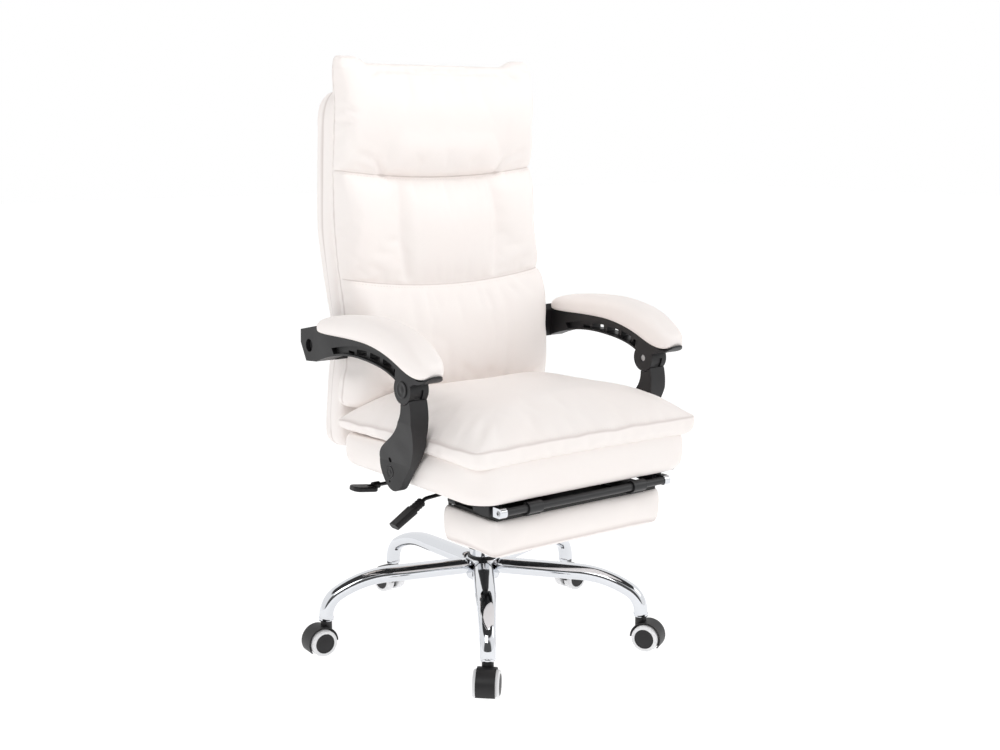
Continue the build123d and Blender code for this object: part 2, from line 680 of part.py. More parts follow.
def make_armrests():
    """Both armrests with their pins and bolts."""
    arm = make_arm()
    pad = make_arm_pad(arm)
    post = make_post()
    pin = side_disc(knuckle_y, knuckle_z, knuckle_pin_radius, arm_inner_x + 1, arm_outer_x - 4)
    save("arm_left", arm)
    save("arm_right", mirrored(arm))
    save("arm_pad_left", pad)
    save("arm_pad_right", mirrored(pad))
    save("post_left", post)
    save("post_right", mirrored(post))
    save("knuckle_pin_left", pin)
    save("knuckle_pin_right", mirrored(pin))

    rail = seat_half_width - board_inset
    foot_inner = seat_half_width + 2.0
    foot_bolt = side_disc(post_foot_y, post_foot_z, arm_bolt_radius, rail - rail_thickness + 2,
                          post_foot_outer_x - bolt_head_height)
    foot_bolt += side_disc(post_foot_y, post_foot_z, bolt_collar_radius, rail + 0.1, foot_inner - 0.2)
    foot_bolt += side_disc(post_foot_y, post_foot_z, bolt_head_radius, post_foot_outer_x - bolt_head_height - 0.8,
                           post_foot_outer_x - 0.8)

    block_x = back_frame_half_width + back_block_thickness - 6
    arm_bolt = side_disc(arm_rear_y, arm_rear_z, arm_bolt_radius, block_x - 18, arm_outer_x - 14)
    arm_bolt += side_disc(arm_rear_y, arm_rear_z, bolt_collar_radius, block_x + 0.1, arm_block_inner_x - 0.3)
    arm_bolt += side_disc(arm_rear_y, arm_rear_z, bolt_head_radius, arm_outer_x - 13.7, arm_outer_x - 9)
    return [foot_bolt, mirrored(foot_bolt)], [arm_bolt, mirrored(arm_bolt)]


# ---------------------------------------------------------------- backrest
# (height, front, rear, half width) of the upholstered rear shell; its profile is S-shaped
shell_layers = [
    (back_bottom, 164, 207, -18), (back_bottom + 12, 156, 217, -5), (430, 152, 215, 0),
    (486, 141, 211, 0), (546, 126, 200, 0), (600, 131, 196, 0), (650, 141, 209, 0),
    (705, 151, 223, 0), (784, 161, 234, 0), (889, 154, 232, 0), (975, 148, 226, 0),
    (1012, 147, 221, -6), (1032, 151, 213, -25),
]
# (height, front, half-width change, channel depth) of the pillow-top pad
pad_layers = [
    (pad_bottom, 90, -8, 1), (pad_bottom + 12, 78, 3, 2), (495, 71, 4, 3), (530, 68, 0.8, 3), (565, 67, -0.2, 3),
    (618, 71, 0, 3), (652, 83, -1, 2), (670, 104, -4, 1), (688, 101, -1, 4), (735, 104, 0, 8),
    (800, 110, 0, 8), (850, 119, -1, 5), (871, 137, -5, 1), (891, 125, -3, 2), (940, 117, -2, 3),
    (1000, 115, -3, 3), (1048, 121, -4, 2), (1076, 131, -6, 1), (1088, 143, -10, 0),
]
# (height, rear) of the pad: sunk a little into the shell's front, then free above its top
pad_rears = [(layer[0], layer[1] + pad_overlap) for layer in shell_layers[:-1]]
pad_rears += [(1030, 161), (1048, 163), (1076, 163), (1088, 157)]


def pad_rear(height):
    """Rear of the pad at a height, between the layers."""
    for low, high in zip(pad_rears, pad_rears[1:]):
        if low[0] <= height <= high[0]:
            share = (height - low[0]) / (high[0] - low[0])
            return low[1] + share * (high[1] - low[1])


def shell_section(height, front, rear, change):
    """Level rounded section of the rear shell."""
    half = shell_half_width + change
    middle = (front + rear) / 2
    return Pos(0, middle, height) * RectangleRounded(2 * half, rear - front, 17)


def pad_section(height, front, change, channel):
    """Level section of the pad: flat behind, drawn-in sides, three swells between two channels."""
    w = pad_half_width + change
    rear = pad_rear(height)
    depth = rear - front
    side = front + 0.55 * depth
    corner = front + 0.2 * depth
    shoulder = (w - 26, front + 0.06 * depth)
    dip = (channel_x, front + 0.05 * depth + channel)
    swell = ((w - 26 + channel_x) / 2, front + 0.01 * depth)
    right = ThreePointArc((w - 7, rear), (w - 1.5, (rear + side) / 2), (w, side))
    right_corner = ThreePointArc((w, side), (w - 5, corner), shoulder)
    right_swell = ThreePointArc(shoulder, swell, dip)
    middle = ThreePointArc(dip, (0, front), (-dip[0], dip[1]))
    left_swell = ThreePointArc((-dip[0], dip[1]), (-swell[0], swell[1]), (-shoulder[0], shoulder[1]))
    left_corner = ThreePointArc((-shoulder[0], shoulder[1]), (-(w - 5), corner), (-w, side))
    left = ThreePointArc((-w, side), (-(w - 1.5), (rear + side) / 2), (-(w - 7), rear))
    behind = Line((-(w - 7), rear), (w - 7, rear))
    edges = [right, right_corner, right_swell, middle, left_swell, left_corner, left, behind]
    return Pos(0, 0, height) * make_face(edges)


def back_frame():
    """Plywood back panel, with a hardwood block on each side for the armrest bolts."""
    half = back_frame_half_width
    rear = back_frame_front + back_frame_thickness
    panel = block(-half, half, back_frame_front, rear, back_bottom, back_frame_top)
    block_x = half + back_block_thickness - 6
    for side in (-1, 1):
        x_low, x_high = sorted((side * (block_x - back_block_thickness), side * block_x))
        panel += block(x_low, x_high, arm_rear_y - back_block_reach, rear,
                       arm_rear_z - back_block_height / 2, arm_rear_z + back_block_height / 2)
    return panel


def make_backrest():
    """Back panel, rear shell, pillow-top pad and the hinge that carries them."""
    frame = back_frame()
    bored = frame
    reach = back_frame_half_width + back_block_thickness
    for side in (-1, 1):
        x_low, x_high = sorted((side * (reach - 26), side * (reach + 1)))
        bored -= side_disc(arm_rear_y, arm_rear_z, arm_bolt_radius + fit_clearance, x_low, x_high)
    save("back_frame", bored)

    shell_form = loft([shell_section(*layer) for layer in shell_layers])
    room = frame
    half = hinge_arm_width / 2
    for side in (-1, 1):
        x_low, x_high = sorted((side * (reach - 26), side * (shell_half_width + 20)))
        room += side_disc(arm_rear_y, arm_rear_z, bolt_collar_radius + 0.3, x_low, x_high)
        x_low, x_high = sorted((side * (hinge_arm_x - half - 2), side * (hinge_arm_x + half + 2)))
        room += block(x_low, x_high, back_rear_flat, back_rear_flat + 40, back_bottom - 5, hinge_leaf_top + 3)
    room += block(-back_frame_half_width, back_frame_half_width, back_frame_front,
                  back_frame_front + back_frame_thickness, back_bottom - 5, back_bottom + 5)
    save("back_shell", shell_form - room)

    pad_form = loft([pad_section(*layer) for layer in pad_layers])
    save("back_pillow_pad", pad_form - shell_form - room)

    return make_back_hinge()


def make_back_hinge():
    """Two strap hinges: arms fixed under the seat board, leaves fixed on the shell's rear."""
    x_low = hinge_arm_x - hinge_arm_width / 2
    x_high = hinge_arm_x + hinge_arm_width / 2
    leaf_low = hinge_arm_x - hinge_leaf_width / 2
    leaf_high = hinge_arm_x + hinge_leaf_width / 2
    top = board_bottom
    arm = block(x_low, x_high, hinge_arm_front, hinge_y + hinge_plate, top - hinge_plate, top)
    arm += block(x_low, x_high, hinge_y, hinge_y + hinge_plate, top - hinge_plate, hinge_z)
    arm += side_disc(hinge_y, hinge_z, hinge_barrel_radius, x_low, x_high)
    arm -= side_disc(hinge_y, hinge_z, hinge_barrel_radius + 1, leaf_low - running_gap, leaf_high + running_gap)
    arm -= side_disc(hinge_y, hinge_z, hinge_pin_radius + fit_clearance, x_low - 1, x_high + 1)
    save("back_hinge_arms", Compound(children=[arm, mirrored(arm)]))

    face = back_rear_flat + 0.2
    leaf = block(x_low, x_high, face, face + hinge_leaf_plate, hinge_z, hinge_leaf_top)
    leaf += block(leaf_low, leaf_high, face, hinge_y, hinge_z, hinge_z + hinge_barrel_radius)
    leaf += side_disc(hinge_y, hinge_z, hinge_barrel_radius, leaf_low, leaf_high)
    for low, high in ((x_low - 1, leaf_low), (leaf_high, x_high + 1)):
        leaf -= side_disc(hinge_y, hinge_z, hinge_barrel_radius + 1, low, high)
    leaf -= side_disc(hinge_y, hinge_z, hinge_pin_radius + 0.02, leaf_low - 1, leaf_high + 1)
    save("back_hinge_leaves", Compound(children=[leaf, mirrored(leaf)]))

    pin = side_disc(hinge_y, hinge_z, hinge_pin_radius, x_low - 1, x_high + 1)
    return [pin, mirrored(pin)]


# ---------------------------------------------------------------- footrest
def make_footrest():
    """Sliding frame under the seat, and the padded board that flips over its front tube."""
    rod = Pos(runner_x, (tube_y + 12 + runner_rear) / 2, tube_z) * Rot(90, 0, 0) * Cylinder(
        runner_radius, runner_rear - tube_y - 12)
    save("footrest_runners", Compound(children=[rod, mirrored(rod)]))

    half = knuckle_block_width / 2
    rise = knuckle_block_height / 2
    inner = runner_x - half
    tube = side_disc(tube_y, tube_z, tube_radius, -inner - socket_depth, inner + socket_depth)
    tube -= side_disc(tube_y, tube_z, tube_radius - tube_wall, -inner - socket_depth - 1, inner + socket_depth + 1)
    save("footrest_tube", tube)

    front = tube_y - rise
    corner = block(inner, runner_x + half, front, front + knuckle_block_length, tube_z - rise, tube_z + rise)
    corner = fillet(corner.edges().filter_by(Axis.X), knuckle_block_round)
    corner -= side_disc(tube_y, tube_z, tube_radius + 0.02, inner - 1, inner + socket_depth)
    bore = runner_radius + 0.02
    reach = front + knuckle_block_length - (tube_y + 12)
    corner -= Pos(runner_x, tube_y + 12 + reach, tube_z) * Rot(90, 0, 0) * Cylinder(bore, 2 * reach)
    save("footrest_corners", Compound(children=[corner, mirrored(corner)]))

    low_x = runner_x - guide_width / 2
    high_x = runner_x + guide_width / 2
    rear_guide = block(low_x, high_x, guide_centre - guide_length / 2, guide_centre + guide_length / 2,
                       guide_bottom, board_bottom)
    rear_guide = fillet(rear_guide.edges().filter_by(Axis.Y).sort_by(Axis.Z)[0:2], 6)
    run = Pos(runner_x, guide_centre, tube_z) * Rot(90, 0, 0) * Cylinder(runner_radius + fit_clearance, 400)
    guides = []
    for body in (side_prism(front_guide, low_x, high_x) - run, rear_guide - run):
        guides += [body, mirrored(body)]
    save("footrest_guides", Compound(children=guides))

    board_top = foot_board_bottom + foot_board_thickness
    inset = foot_board_inset
    board = block(-foot_pad_half_width + inset, foot_pad_half_width - inset, foot_pad_front + inset,
                  foot_pad_rear - inset, foot_board_bottom, board_top)
    save("footrest_board", board)
    layers = [(foot_pad_bottom, 10, 12), (foot_pad_bottom + 7, 3, 15),
              ((foot_pad_bottom + foot_board_bottom) / 2, 0, 16),
              (foot_board_bottom - 8, 1.5, 16), (foot_board_bottom, 5, 15)]
    pad = loft([Pos(0, (foot_pad_front + foot_pad_rear) / 2, z) * RectangleRounded(
        2 * (foot_pad_half_width - cut), foot_pad_rear - foot_pad_front - 2 * cut, corner_radius)
        for z, cut, corner_radius in layers])
    save("footrest_cushion", pad)

    low = strap_x - strap_width / 2
    high = strap_x + strap_width / 2
    ring = tube_radius + fit_clearance + strap_ring
    strap = side_disc(tube_y, tube_z, ring, low, high)
    strap += block(low, high, tube_y, tube_y + strap_length, board_top, board_top + strap_thickness)
    strap -= side_disc(tube_y, tube_z, tube_radius + fit_clearance, low - 1, high + 1)
    save("footrest_hinges", Compound(children=[strap, mirrored(strap)]))


# ---------------------------------------------------------------- build
save("base_star", make_star())
make_casters()
make_column()
plate_bolt_solids = make_mechanism()
make_levers()
make_seat()
seat_bolts, back_bolts = make_armrests()
save("seat_bolts", Compound(children=plate_bolt_solids + seat_bolts))
hinge_pins = make_backrest()
save("back_hinge_pins", Compound(children=hinge_pins))
save("back_bolts", Compound(children=back_bolts))
make_footrest()
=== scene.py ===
import math
import bmesh
import bpy
import numpy as np
from mathutils import Matrix, Vector, noise


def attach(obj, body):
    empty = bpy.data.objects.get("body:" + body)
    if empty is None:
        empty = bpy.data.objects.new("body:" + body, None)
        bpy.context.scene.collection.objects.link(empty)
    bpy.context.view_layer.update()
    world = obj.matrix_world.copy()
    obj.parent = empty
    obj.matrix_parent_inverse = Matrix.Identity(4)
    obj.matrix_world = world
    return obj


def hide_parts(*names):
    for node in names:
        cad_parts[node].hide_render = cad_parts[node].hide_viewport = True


# A reclining office chair with a pull-out footrest, dressed over its CAD frame, in metres.
# The sitter faces -Y. The sections follow the chair as it is put together, from the floor up.
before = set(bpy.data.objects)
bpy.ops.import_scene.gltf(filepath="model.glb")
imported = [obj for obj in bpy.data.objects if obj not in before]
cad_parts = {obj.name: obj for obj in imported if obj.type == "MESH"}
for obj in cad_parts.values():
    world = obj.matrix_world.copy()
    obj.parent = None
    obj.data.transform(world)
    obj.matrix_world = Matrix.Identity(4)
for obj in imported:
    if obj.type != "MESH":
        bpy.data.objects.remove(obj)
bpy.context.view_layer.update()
scene = bpy.context.scene
mm = 0.001


# ---------------- studio
# A plain white sweep in soft light, with a dark ceiling and a dark room behind the camera that give
# the chrome its black streaks. The camera stands at the sitter's front right.
def srgb(code):
    """A hex colour as linear red, green, blue and alpha."""
    parts = [int(code[i:i + 2], 16) / 255 for i in (1, 3, 5)]
    return tuple(p / 12.92 if p <= 0.04045 else ((p + 0.055) / 1.055) ** 2.4 for p in parts) + (1.0,)


def add(tree, kind, settings=None, values=None, links=None):
    """Adds a node with its settings, its input values and its links."""
    made = tree.nodes.new(kind)
    for name, value in (settings or {}).items():
        setattr(made, name, value)
    for name, value in (values or {}).items():
        made.inputs[name].default_value = value
    for name, source in (links or {}).items():
        tree.links.new(source, made.inputs[name])
    return made


def shown(name, data):
    """A new object with that data, linked to the scene."""
    made = bpy.data.objects.new(name, data)
    scene.collection.objects.link(made)
    return made


def new_finish(name):
    """An empty material with its output, and its object coordinates."""
    finish = bpy.data.materials.new(name)
    finish.use_nodes = True
    tree = finish.node_tree
    tree.nodes.clear()
    output = add(tree, "ShaderNodeOutputMaterial")
    place = add(tree, "ShaderNodeTexCoord")
    return finish, tree, output.inputs["Surface"], place.outputs["Object"]


def patterned(name, values, scale=None, detail=2.0, tones=None, shine=None, over=(0.3, 0.7),
              relief=None, stretch=None):
    """A material with a noise pattern, its scale in cycles per metre. The pattern runs between two
    tones and between two roughnesses; relief is (scale, detail, strength, rise) of a finer one."""
    made, tree, surface, place = new_finish(name)
    if stretch:
        place = add(tree, "ShaderNodeMapping", values={"Scale": stretch}, links={"Vector": place}).outputs[0]
    if scale:
        pattern = add(tree, "ShaderNodeTexNoise", {}, {"Scale": scale, "Detail": detail}, {"Vector": place})
    links = {}
    if tones:
        mix = add(tree, "ShaderNodeMix", {"data_type": "RGBA"}, {"A": srgb(tones[0]), "B": srgb(tones[1])},
                  {"Factor": pattern.outputs["Fac"]})
        links["Base Color"] = mix.outputs["Result"]
    if shine:
        limits = {"From Min": over[0], "From Max": over[1], "To Min": shine[0], "To Max": shine[1]}
        rough = add(tree, "ShaderNodeMapRange", {}, limits, {"Value": pattern.outputs["Fac"]})
        links["Roughness"] = rough.outputs["Result"]
    if relief:
        size, octaves, strength, rise = relief
        fine = add(tree, "ShaderNodeTexNoise", {}, {"Scale": size, "Detail": octaves}, {"Vector": place})
        bump = add(tree, "ShaderNodeBump", {}, {"Strength": strength, "Distance": rise},
                   {"Height": fine.outputs["Fac"]})
        links["Normal"] = bump.outputs["Normal"]
    coat = add(tree, "ShaderNodeBsdfPrincipled", values=values, links=links)
    tree.links.new(coat.outputs[0], surface)
    return made


camera = shown("camera", bpy.data.cameras.new("camera"))
camera.data.lens = 50.5
camera.location = (-1.543, -2.090, 0.965)
camera.rotation_euler = (math.radians(90 - 10.03), 0, math.radians(-37.17))
scene.camera = camera
scene.view_settings.view_transform = "Standard"

sweep_white, tree, surface, place = new_finish("painted_white_sweep")
paint = add(tree, "ShaderNodeBsdfPrincipled", values={
    "Base Color": srgb("#a8a8a8"), "Roughness": 0.9,
    "Emission Color": srgb("#ffffff"), "Emission Strength": 0.84})
tree.links.new(paint.outputs[0], surface)
floor_mesh = bpy.data.meshes.new("floor")
reach = 16
floor_mesh.from_pydata([(-reach, -reach, 0), (reach, -reach, 0), (reach, reach, 0), (-reach, reach, 0)], [],
                       [(0, 1, 2, 3)])
floor_mesh.materials.append(sweep_white)
floor = shown("floor", floor_mesh)

world = bpy.data.worlds.new("studio")
world.use_nodes = True
scene.world = world
sky = world.node_tree
sky.nodes.clear()
direction = add(sky, "ShaderNodeTexCoord")
height = add(sky, "ShaderNodeSeparateXYZ", links={"Vector": direction.outputs["Generated"]})
ceiling = add(sky, "ShaderNodeMapRange", {"interpolation_type": "SMOOTHSTEP"},
              {"From Min": 0.64, "From Max": 0.74, "To Min": 1.0, "To Max": 0.05},
              {"Value": height.outputs["Z"]})
behind = add(sky, "ShaderNodeVectorMath", {"operation": "DOT_PRODUCT"}, {1: (-0.6, -0.8, 0.0)},
             {0: direction.outputs["Generated"]})
dark_room = add(sky, "ShaderNodeMapRange", {"interpolation_type": "SMOOTHSTEP"},
                {"From Min": 0.68, "From Max": 0.84, "To Min": 1.0, "To Max": 0.10},
                {"Value": behind.outputs["Value"]})
both = add(sky, "ShaderNodeMath", {"operation": "MULTIPLY"},
           links={0: ceiling.outputs["Result"], 1: dark_room.outputs["Result"]})
glow = add(sky, "ShaderNodeBackground", {}, {"Color": srgb("#ffffff")}, {"Strength": both.outputs[0]})
add(sky, "ShaderNodeOutputWorld", links={"Surface": glow.outputs[0]})

for name, spot, aim, size, power in (
        ("key_light", (-2.6, -2.4, 3.0), (0, 0, 0.6), 1.8, 40),
        ("fill_light", (2.8, -2.2, 2.4), (0, 0, 0.6), 1.8, 13),
        ("top_light", (0.2, -0.6, 3.2), (0, 0, 0.4), 1.2, 24)):
    lamp = shown(name, bpy.data.lights.new(name, "AREA"))
    lamp.data.size = size
    lamp.data.energy = power
    lamp.location = spot
    lamp.rotation_euler = (Vector(aim) - Vector(spot)).to_track_quat("-Z", "Y").to_euler()


# ---------------- star base
# Five legs of flattened steel tube, bent down over the casters, welded to a turned hub and plated
# as one piece. A collar at each tip takes the caster's stem.
leg_centre, leg_reach, leg_straight = 137.5 * mm, 309 * mm, 172 * mm
leg_first = -34.9
collar_top = 70 * mm


def mesh_piece(name, points, faces, *materials):
    """A new smooth mesh object at the origin, its faces turned outwards."""
    mesh = bpy.data.meshes.new(name)
    mesh.from_pydata([tuple(p) for p in points], [], faces)
    work = bmesh.new()
    work.from_mesh(mesh)
    bmesh.ops.remove_doubles(work, verts=work.verts, dist=1e-6)
    bmesh.ops.recalc_face_normals(work, faces=work.faces)
    work.to_mesh(mesh)
    work.free()
    for material in materials:
        mesh.materials.append(material)
    mesh.shade_smooth()
    return shown(name, mesh)


def seat_on(piece, body, node=None):
    """Gives a piece the body that it rides and hides the CAD node that it takes the place of."""
    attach(piece, body)
    if node:
        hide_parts(node)


def skin(rings, closed_ends=True):
    """Points and faces of a skin over rings of equal length."""
    count = len(rings[0])
    points = [p for ring in rings for p in ring]
    faces = []
    for row in range(len(rings) - 1):
        for i in range(count):
            j = (i + 1) % count
            faces.append((row * count + i, row * count + j, (row + 1) * count + j, (row + 1) * count + i))
    if closed_ends:
        faces.append(tuple(range(count)))
        faces.append(tuple((len(rings) - 1) * count + i for i in range(count)))
    return points, faces


def lathe(profile, sides, place=Matrix.Identity(4)):
    """Points and faces of a (radius, height) profile in mm, turned about Z and placed by a matrix."""
    turns = [2 * math.pi * k / sides for k in range(sides)]
    return skin([[place @ Vector((r * mm * math.cos(t), r * mm * math.sin(t), z * mm)) for t in turns]
                 for r, z in profile])


def squarer(wave, power):
    """A sine or cosine that fills its square better, the smaller the power."""
    return math.copysign(abs(wave) ** power, wave)


def together(*parts):
    """Several sets of points and faces as one."""
    points, faces = [], []
    for more_points, more_faces in parts:
        faces += [tuple(len(points) + i for i in face) for face in more_faces]
        points += more_points
    return points, faces


# Bright chromium over nickel: near mirror, with faint polishing marks that only spread the glints.
chrome = patterned("chromium_plate", {"Base Color": srgb("#dcdee2"), "Metallic": 1.0}, 240.0, 3.0,
                   shine=(0.035, 0.075))


def leg_rings():
    """Rings of one leg along +X: level, then round a long bend and a short one down to the stem."""
    stop, long_turn, tip_radius = collar_top, math.radians(30), 48 * mm
    drop = leg_centre - tip_radius * math.cos(long_turn) - stop
    long_radius = drop / (1 - math.cos(long_turn))
    bend_reach = long_radius * math.sin(long_turn) + tip_radius * (1 - math.sin(long_turn))
    start = leg_reach - bend_reach
    path = [(start * k / 8, leg_centre, 0.0) for k in range(1, 8)]
    bend_steps = 24
    for k in range(bend_steps + 1):
        turn = math.radians(90 * k / bend_steps)
        first = min(turn, long_turn)
        x = start + long_radius * math.sin(first)
        z = leg_centre - long_radius * (1 - math.cos(first))
        if turn > long_turn:
            x += tip_radius * (math.sin(turn) - math.sin(long_turn))
            z -= tip_radius * (math.cos(long_turn) - math.cos(turn))
        path.append((x, z, turn))
    path.append((leg_reach, stop - 6 * mm, math.pi / 2))
    rings, around = [], 28
    for x, z, turn in path:
        share = max(0.0, min(1.0, (x - leg_straight) / (leg_reach - leg_straight)))
        wide, deep = (20.0 - 6.0 * share) * mm, (14.6 - 1.8 * share) * mm
        ring = []
        for k in range(around):
            t = 2 * math.pi * k / around
            side, up = wide * squarer(math.cos(t), 0.86), deep * squarer(math.sin(t), 0.86)
            ring.append(Vector((x + up * math.sin(turn), side, z + up * math.cos(turn))))
        rings.append(ring)
    return rings


leg = leg_rings()
collar = [
    (6.2, 62.2), (13.2, 62.2), (14.0, 62.9), (14.0, 68.4), (13.2, 69.2), (12.0, 69.4), (6.2, 69.4),
    (6.2, 62.2)]
star_parts = []
for index in range(5):
    spin = Matrix.Rotation(math.radians(leg_first - 90 + 72 * index), 4, "Z")
    star_parts.append(skin([[spin @ p for p in ring] for ring in leg]))
    at_tip = spin @ Matrix.Translation((leg_reach, 0, 0))
    star_parts.append(lathe(collar, 32, at_tip))
hub = [
    (25.6, 112), (29.5, 112), (31.0, 113), (31.8, 115.5), (31.5, 121), (31.5, 146), (31.9, 150),
    (31.0, 152.2), (29.5, 153), (25.6, 153), (25.6, 112)]
star_parts.append(lathe(hub, 72))
star = mesh_piece("star_base_plated", *together(*star_parts), chrome)
seat_on(star, "base", "base_star")


# ---------------- casters
# A moulded nylon hood over two wheels on a steel axle, each a black core with a domed cap and a
# pale polyurethane tread round it. The steel stem clips up into the leg's tip.
caster_turns = (-9.0, 12.5, 6.0, -14.0, -8.0)
trail, wheel_radius, wheel_width, wheel_gap = 14 * mm, 25 * mm, 18 * mm, 5.3 * mm

# Black glass-filled nylon from a spark-eroded mould: a fine even stipple and a dull shine.
black_plastic = patterned("moulded_black_nylon", {"IOR": 1.47}, 18.0, 3.0, tones=("#121113", "#1b1a1c"),
                          shine=(0.40, 0.52), relief=(1500.0, 2.0, 0.25, 0.0002))

# Cast polyurethane tread: pale grey, slightly dusty, softer sheen than the core.
tread = patterned("cast_polyurethane_tread", {"Roughness": 0.55, "IOR": 1.5}, 160.0, 4.0,
                  tones=("#e6e6e8", "#f4f4f5"))

# Bright zinc on turned pins, stems and bolts: fine turning lines round a soft metal shine.
zinc = patterned("zinc_plated_steel", {"Base Color": srgb("#b9bbbd"), "Metallic": 1.0}, 420.0,
                 shine=(0.24, 0.38))


def dress(material, *nodes):
    """Gives CAD nodes their finish and leaves their meshes alone."""
    for node in nodes:
        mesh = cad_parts[node].data
        mesh.materials.clear()
        mesh.materials.append(material)


def finished(piece):
    """Makes a piece's modifiers part of its mesh."""
    result = bpy.data.meshes.new_from_object(piece.evaluated_get(bpy.context.evaluated_depsgraph_get()))
    piece.modifiers.clear()
    piece.data = result


def eased(node, body, edge, material, name):
    """A copy of a CAD node with its sharp edges rounded, as a moulded or deburred piece has them."""
    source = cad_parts[node]
    work = bmesh.new()
    work.from_mesh(source.data)
    bmesh.ops.remove_doubles(work, verts=work.verts, dist=2e-6)
    bmesh.ops.dissolve_limit(work, angle_limit=math.radians(0.6), verts=work.verts, edges=work.edges)
    mesh = bpy.data.meshes.new(name)
    work.to_mesh(mesh)
    work.free()
    mesh.materials.append(material)
    mesh.shade_smooth()
    piece = shown(name, mesh)
    round_over = piece.modifiers.new("round_over", "BEVEL")
    round_over.width = edge
    round_over.segments = 2
    round_over.limit_method = "ANGLE"
    round_over.angle_limit = math.radians(32)
    round_over.use_clamp_overlap = True
    piece.modifiers.new("even", "WEIGHTED_NORMAL")
    finished(piece)
    seat_on(piece, body, node)


tread_profile = [
    (18.5, -8.6), (22.0, -9.0), (23.4, -8.8), (24.6, -7.6), (25.0, -6.0), (25.0, 6.0), (24.6, 7.6),
    (23.4, 8.8), (22.0, 9.0), (19.4, 9.0), (18.6, 8.7)]
core_profile = [
    (4.4, -8.2), (18.6, -8.2), (18.6, 8.3), (18.2, 9.1), (17.2, 9.5), (16.4, 9.1), (12.0, 9.9), (7.0, 10.4),
    (0.0, 10.5)]
for index in range(5):
    number = index + 1
    azimuth = math.radians(leg_first - 90 - 72 * index)
    stand = (Matrix.Rotation(azimuth, 4, "Z") @ Matrix.Translation((leg_reach, 0, 0))
             @ Matrix.Rotation(math.radians(caster_turns[index]), 4, "Z"))
    eased(f"caster_{number}_hood", f"caster_{number}", 0.7 * mm, black_plastic,
          f"caster_{number}_hood_moulded")
    dress(zinc, f"caster_{number}_pins")
    for side, name in ((-1, "outer"), (1, "inner")):
        axle = stand @ Matrix.Translation((trail, side * (wheel_gap + wheel_width / 2), wheel_radius))
        axle = axle @ Matrix.Rotation(math.radians(-90 * side), 4, "X")
        body = f"caster_{number}_wheel_{name}"
        ring = mesh_piece(f"{body}_tread", *lathe(tread_profile, 48, axle), tread)
        core = mesh_piece(f"{body}_core", *lathe(core_profile, 48, axle), black_plastic)
        seat_on(ring, body, body)
        seat_on(core, body)


# ---------------- gas column
# A plated steel tube pressed into the hub, the gas spring that slides in it, and three black
# plastic sleeves that telescope over both. Each sleeve has a small rolled lip.
hub_ring = [(25.2, 153.1), (29.6, 153.1), (29.6, 155.4), (28.8, 156.4), (25.2, 156.4), (25.2, 153.1)]
ring = mesh_piece("hub_cap_ring", *lathe(hub_ring, 64), black_plastic)
seat_on(ring, "base")
for name, node, body, radius, low, length in (
        ("cover_low_sleeve", "cover_lower", "base", 30.2, 172, 68),
        ("cover_mid_sleeve", "cover_middle", "cover_middle", 28.6, 176, 74),
        ("cover_top_sleeve", "cover_upper", "seat", 27.0, 177, 115)):
    inner, high = radius - 1.2, low + length
    lip = radius + 0.35
    profile = [
        (inner, low), (radius - 0.3, low), (radius, low + 0.4), (radius, high - 4.2), (lip, high - 3.6),
        (lip, high - 0.9), (radius, high - 0.3), (inner + 0.3, high), (inner, high - 0.3), (inner, low)]
    sleeve = mesh_piece(name, *lathe(profile, 64), black_plastic)
    seat_on(sleeve, body, node)

# Black stoved powder paint: an orange-peel skin about a millimetre across and a satin shine.
powder = patterned("black_powder_coat", {"Base Color": srgb("#1c1c1e"), "Roughness": 0.34},
                   relief=(650.0, 1.0, 0.3, 0.00015))

# Ground and polished steel of the gas spring and its bearing, with grinding lines round it.
bright_steel = patterned("ground_bright_steel", {"Base Color": srgb("#c6c8ca"), "Metallic": 1.0}, 900.0,
                         shine=(0.14, 0.22))
dress(chrome, "gas_sleeve")
dress(bright_steel, "piston_rod", "thrust_bearing", "gas_cylinder")
dress(zinc, "release_button")


# ---------------- seat mechanism and levers
# A pressed and powder-coated steel box screwed under the seat board. The sitter's right hand
# reaches two levers: a spoon paddle that works the gas spring and a ribbed grip for the recline.
def node_tree(name, sizes):
    """A geometry node tree with named sizes as inputs, its input node and its output node."""
    tree = bpy.data.node_groups.new(name, "GeometryNodeTree")
    tree.is_modifier = True
    tree.interface.new_socket("Geometry", in_out="OUTPUT", socket_type="NodeSocketGeometry")
    tree.interface.new_socket("Geometry", in_out="INPUT", socket_type="NodeSocketGeometry")
    for size in sizes:
        tree.interface.new_socket(size, in_out="INPUT", socket_type="NodeSocketFloat")
    return tree, add(tree, "NodeGroupInput").outputs, add(tree, "NodeGroupOutput").inputs["Geometry"]


def grown(name, mesh, tree, sizes, body):
    """The mesh that a geometry node tree grows on a mesh of points or edges, riding a body."""
    piece = shown(name, mesh)
    growth = piece.modifiers.new("growth", "NODES")
    growth.node_group = tree
    for item in tree.interface.items_tree:
        if item.in_out == "INPUT" and item.name in sizes:
            growth[item.identifier] = sizes[item.name]
    finished(piece)
    seat_on(piece, body)


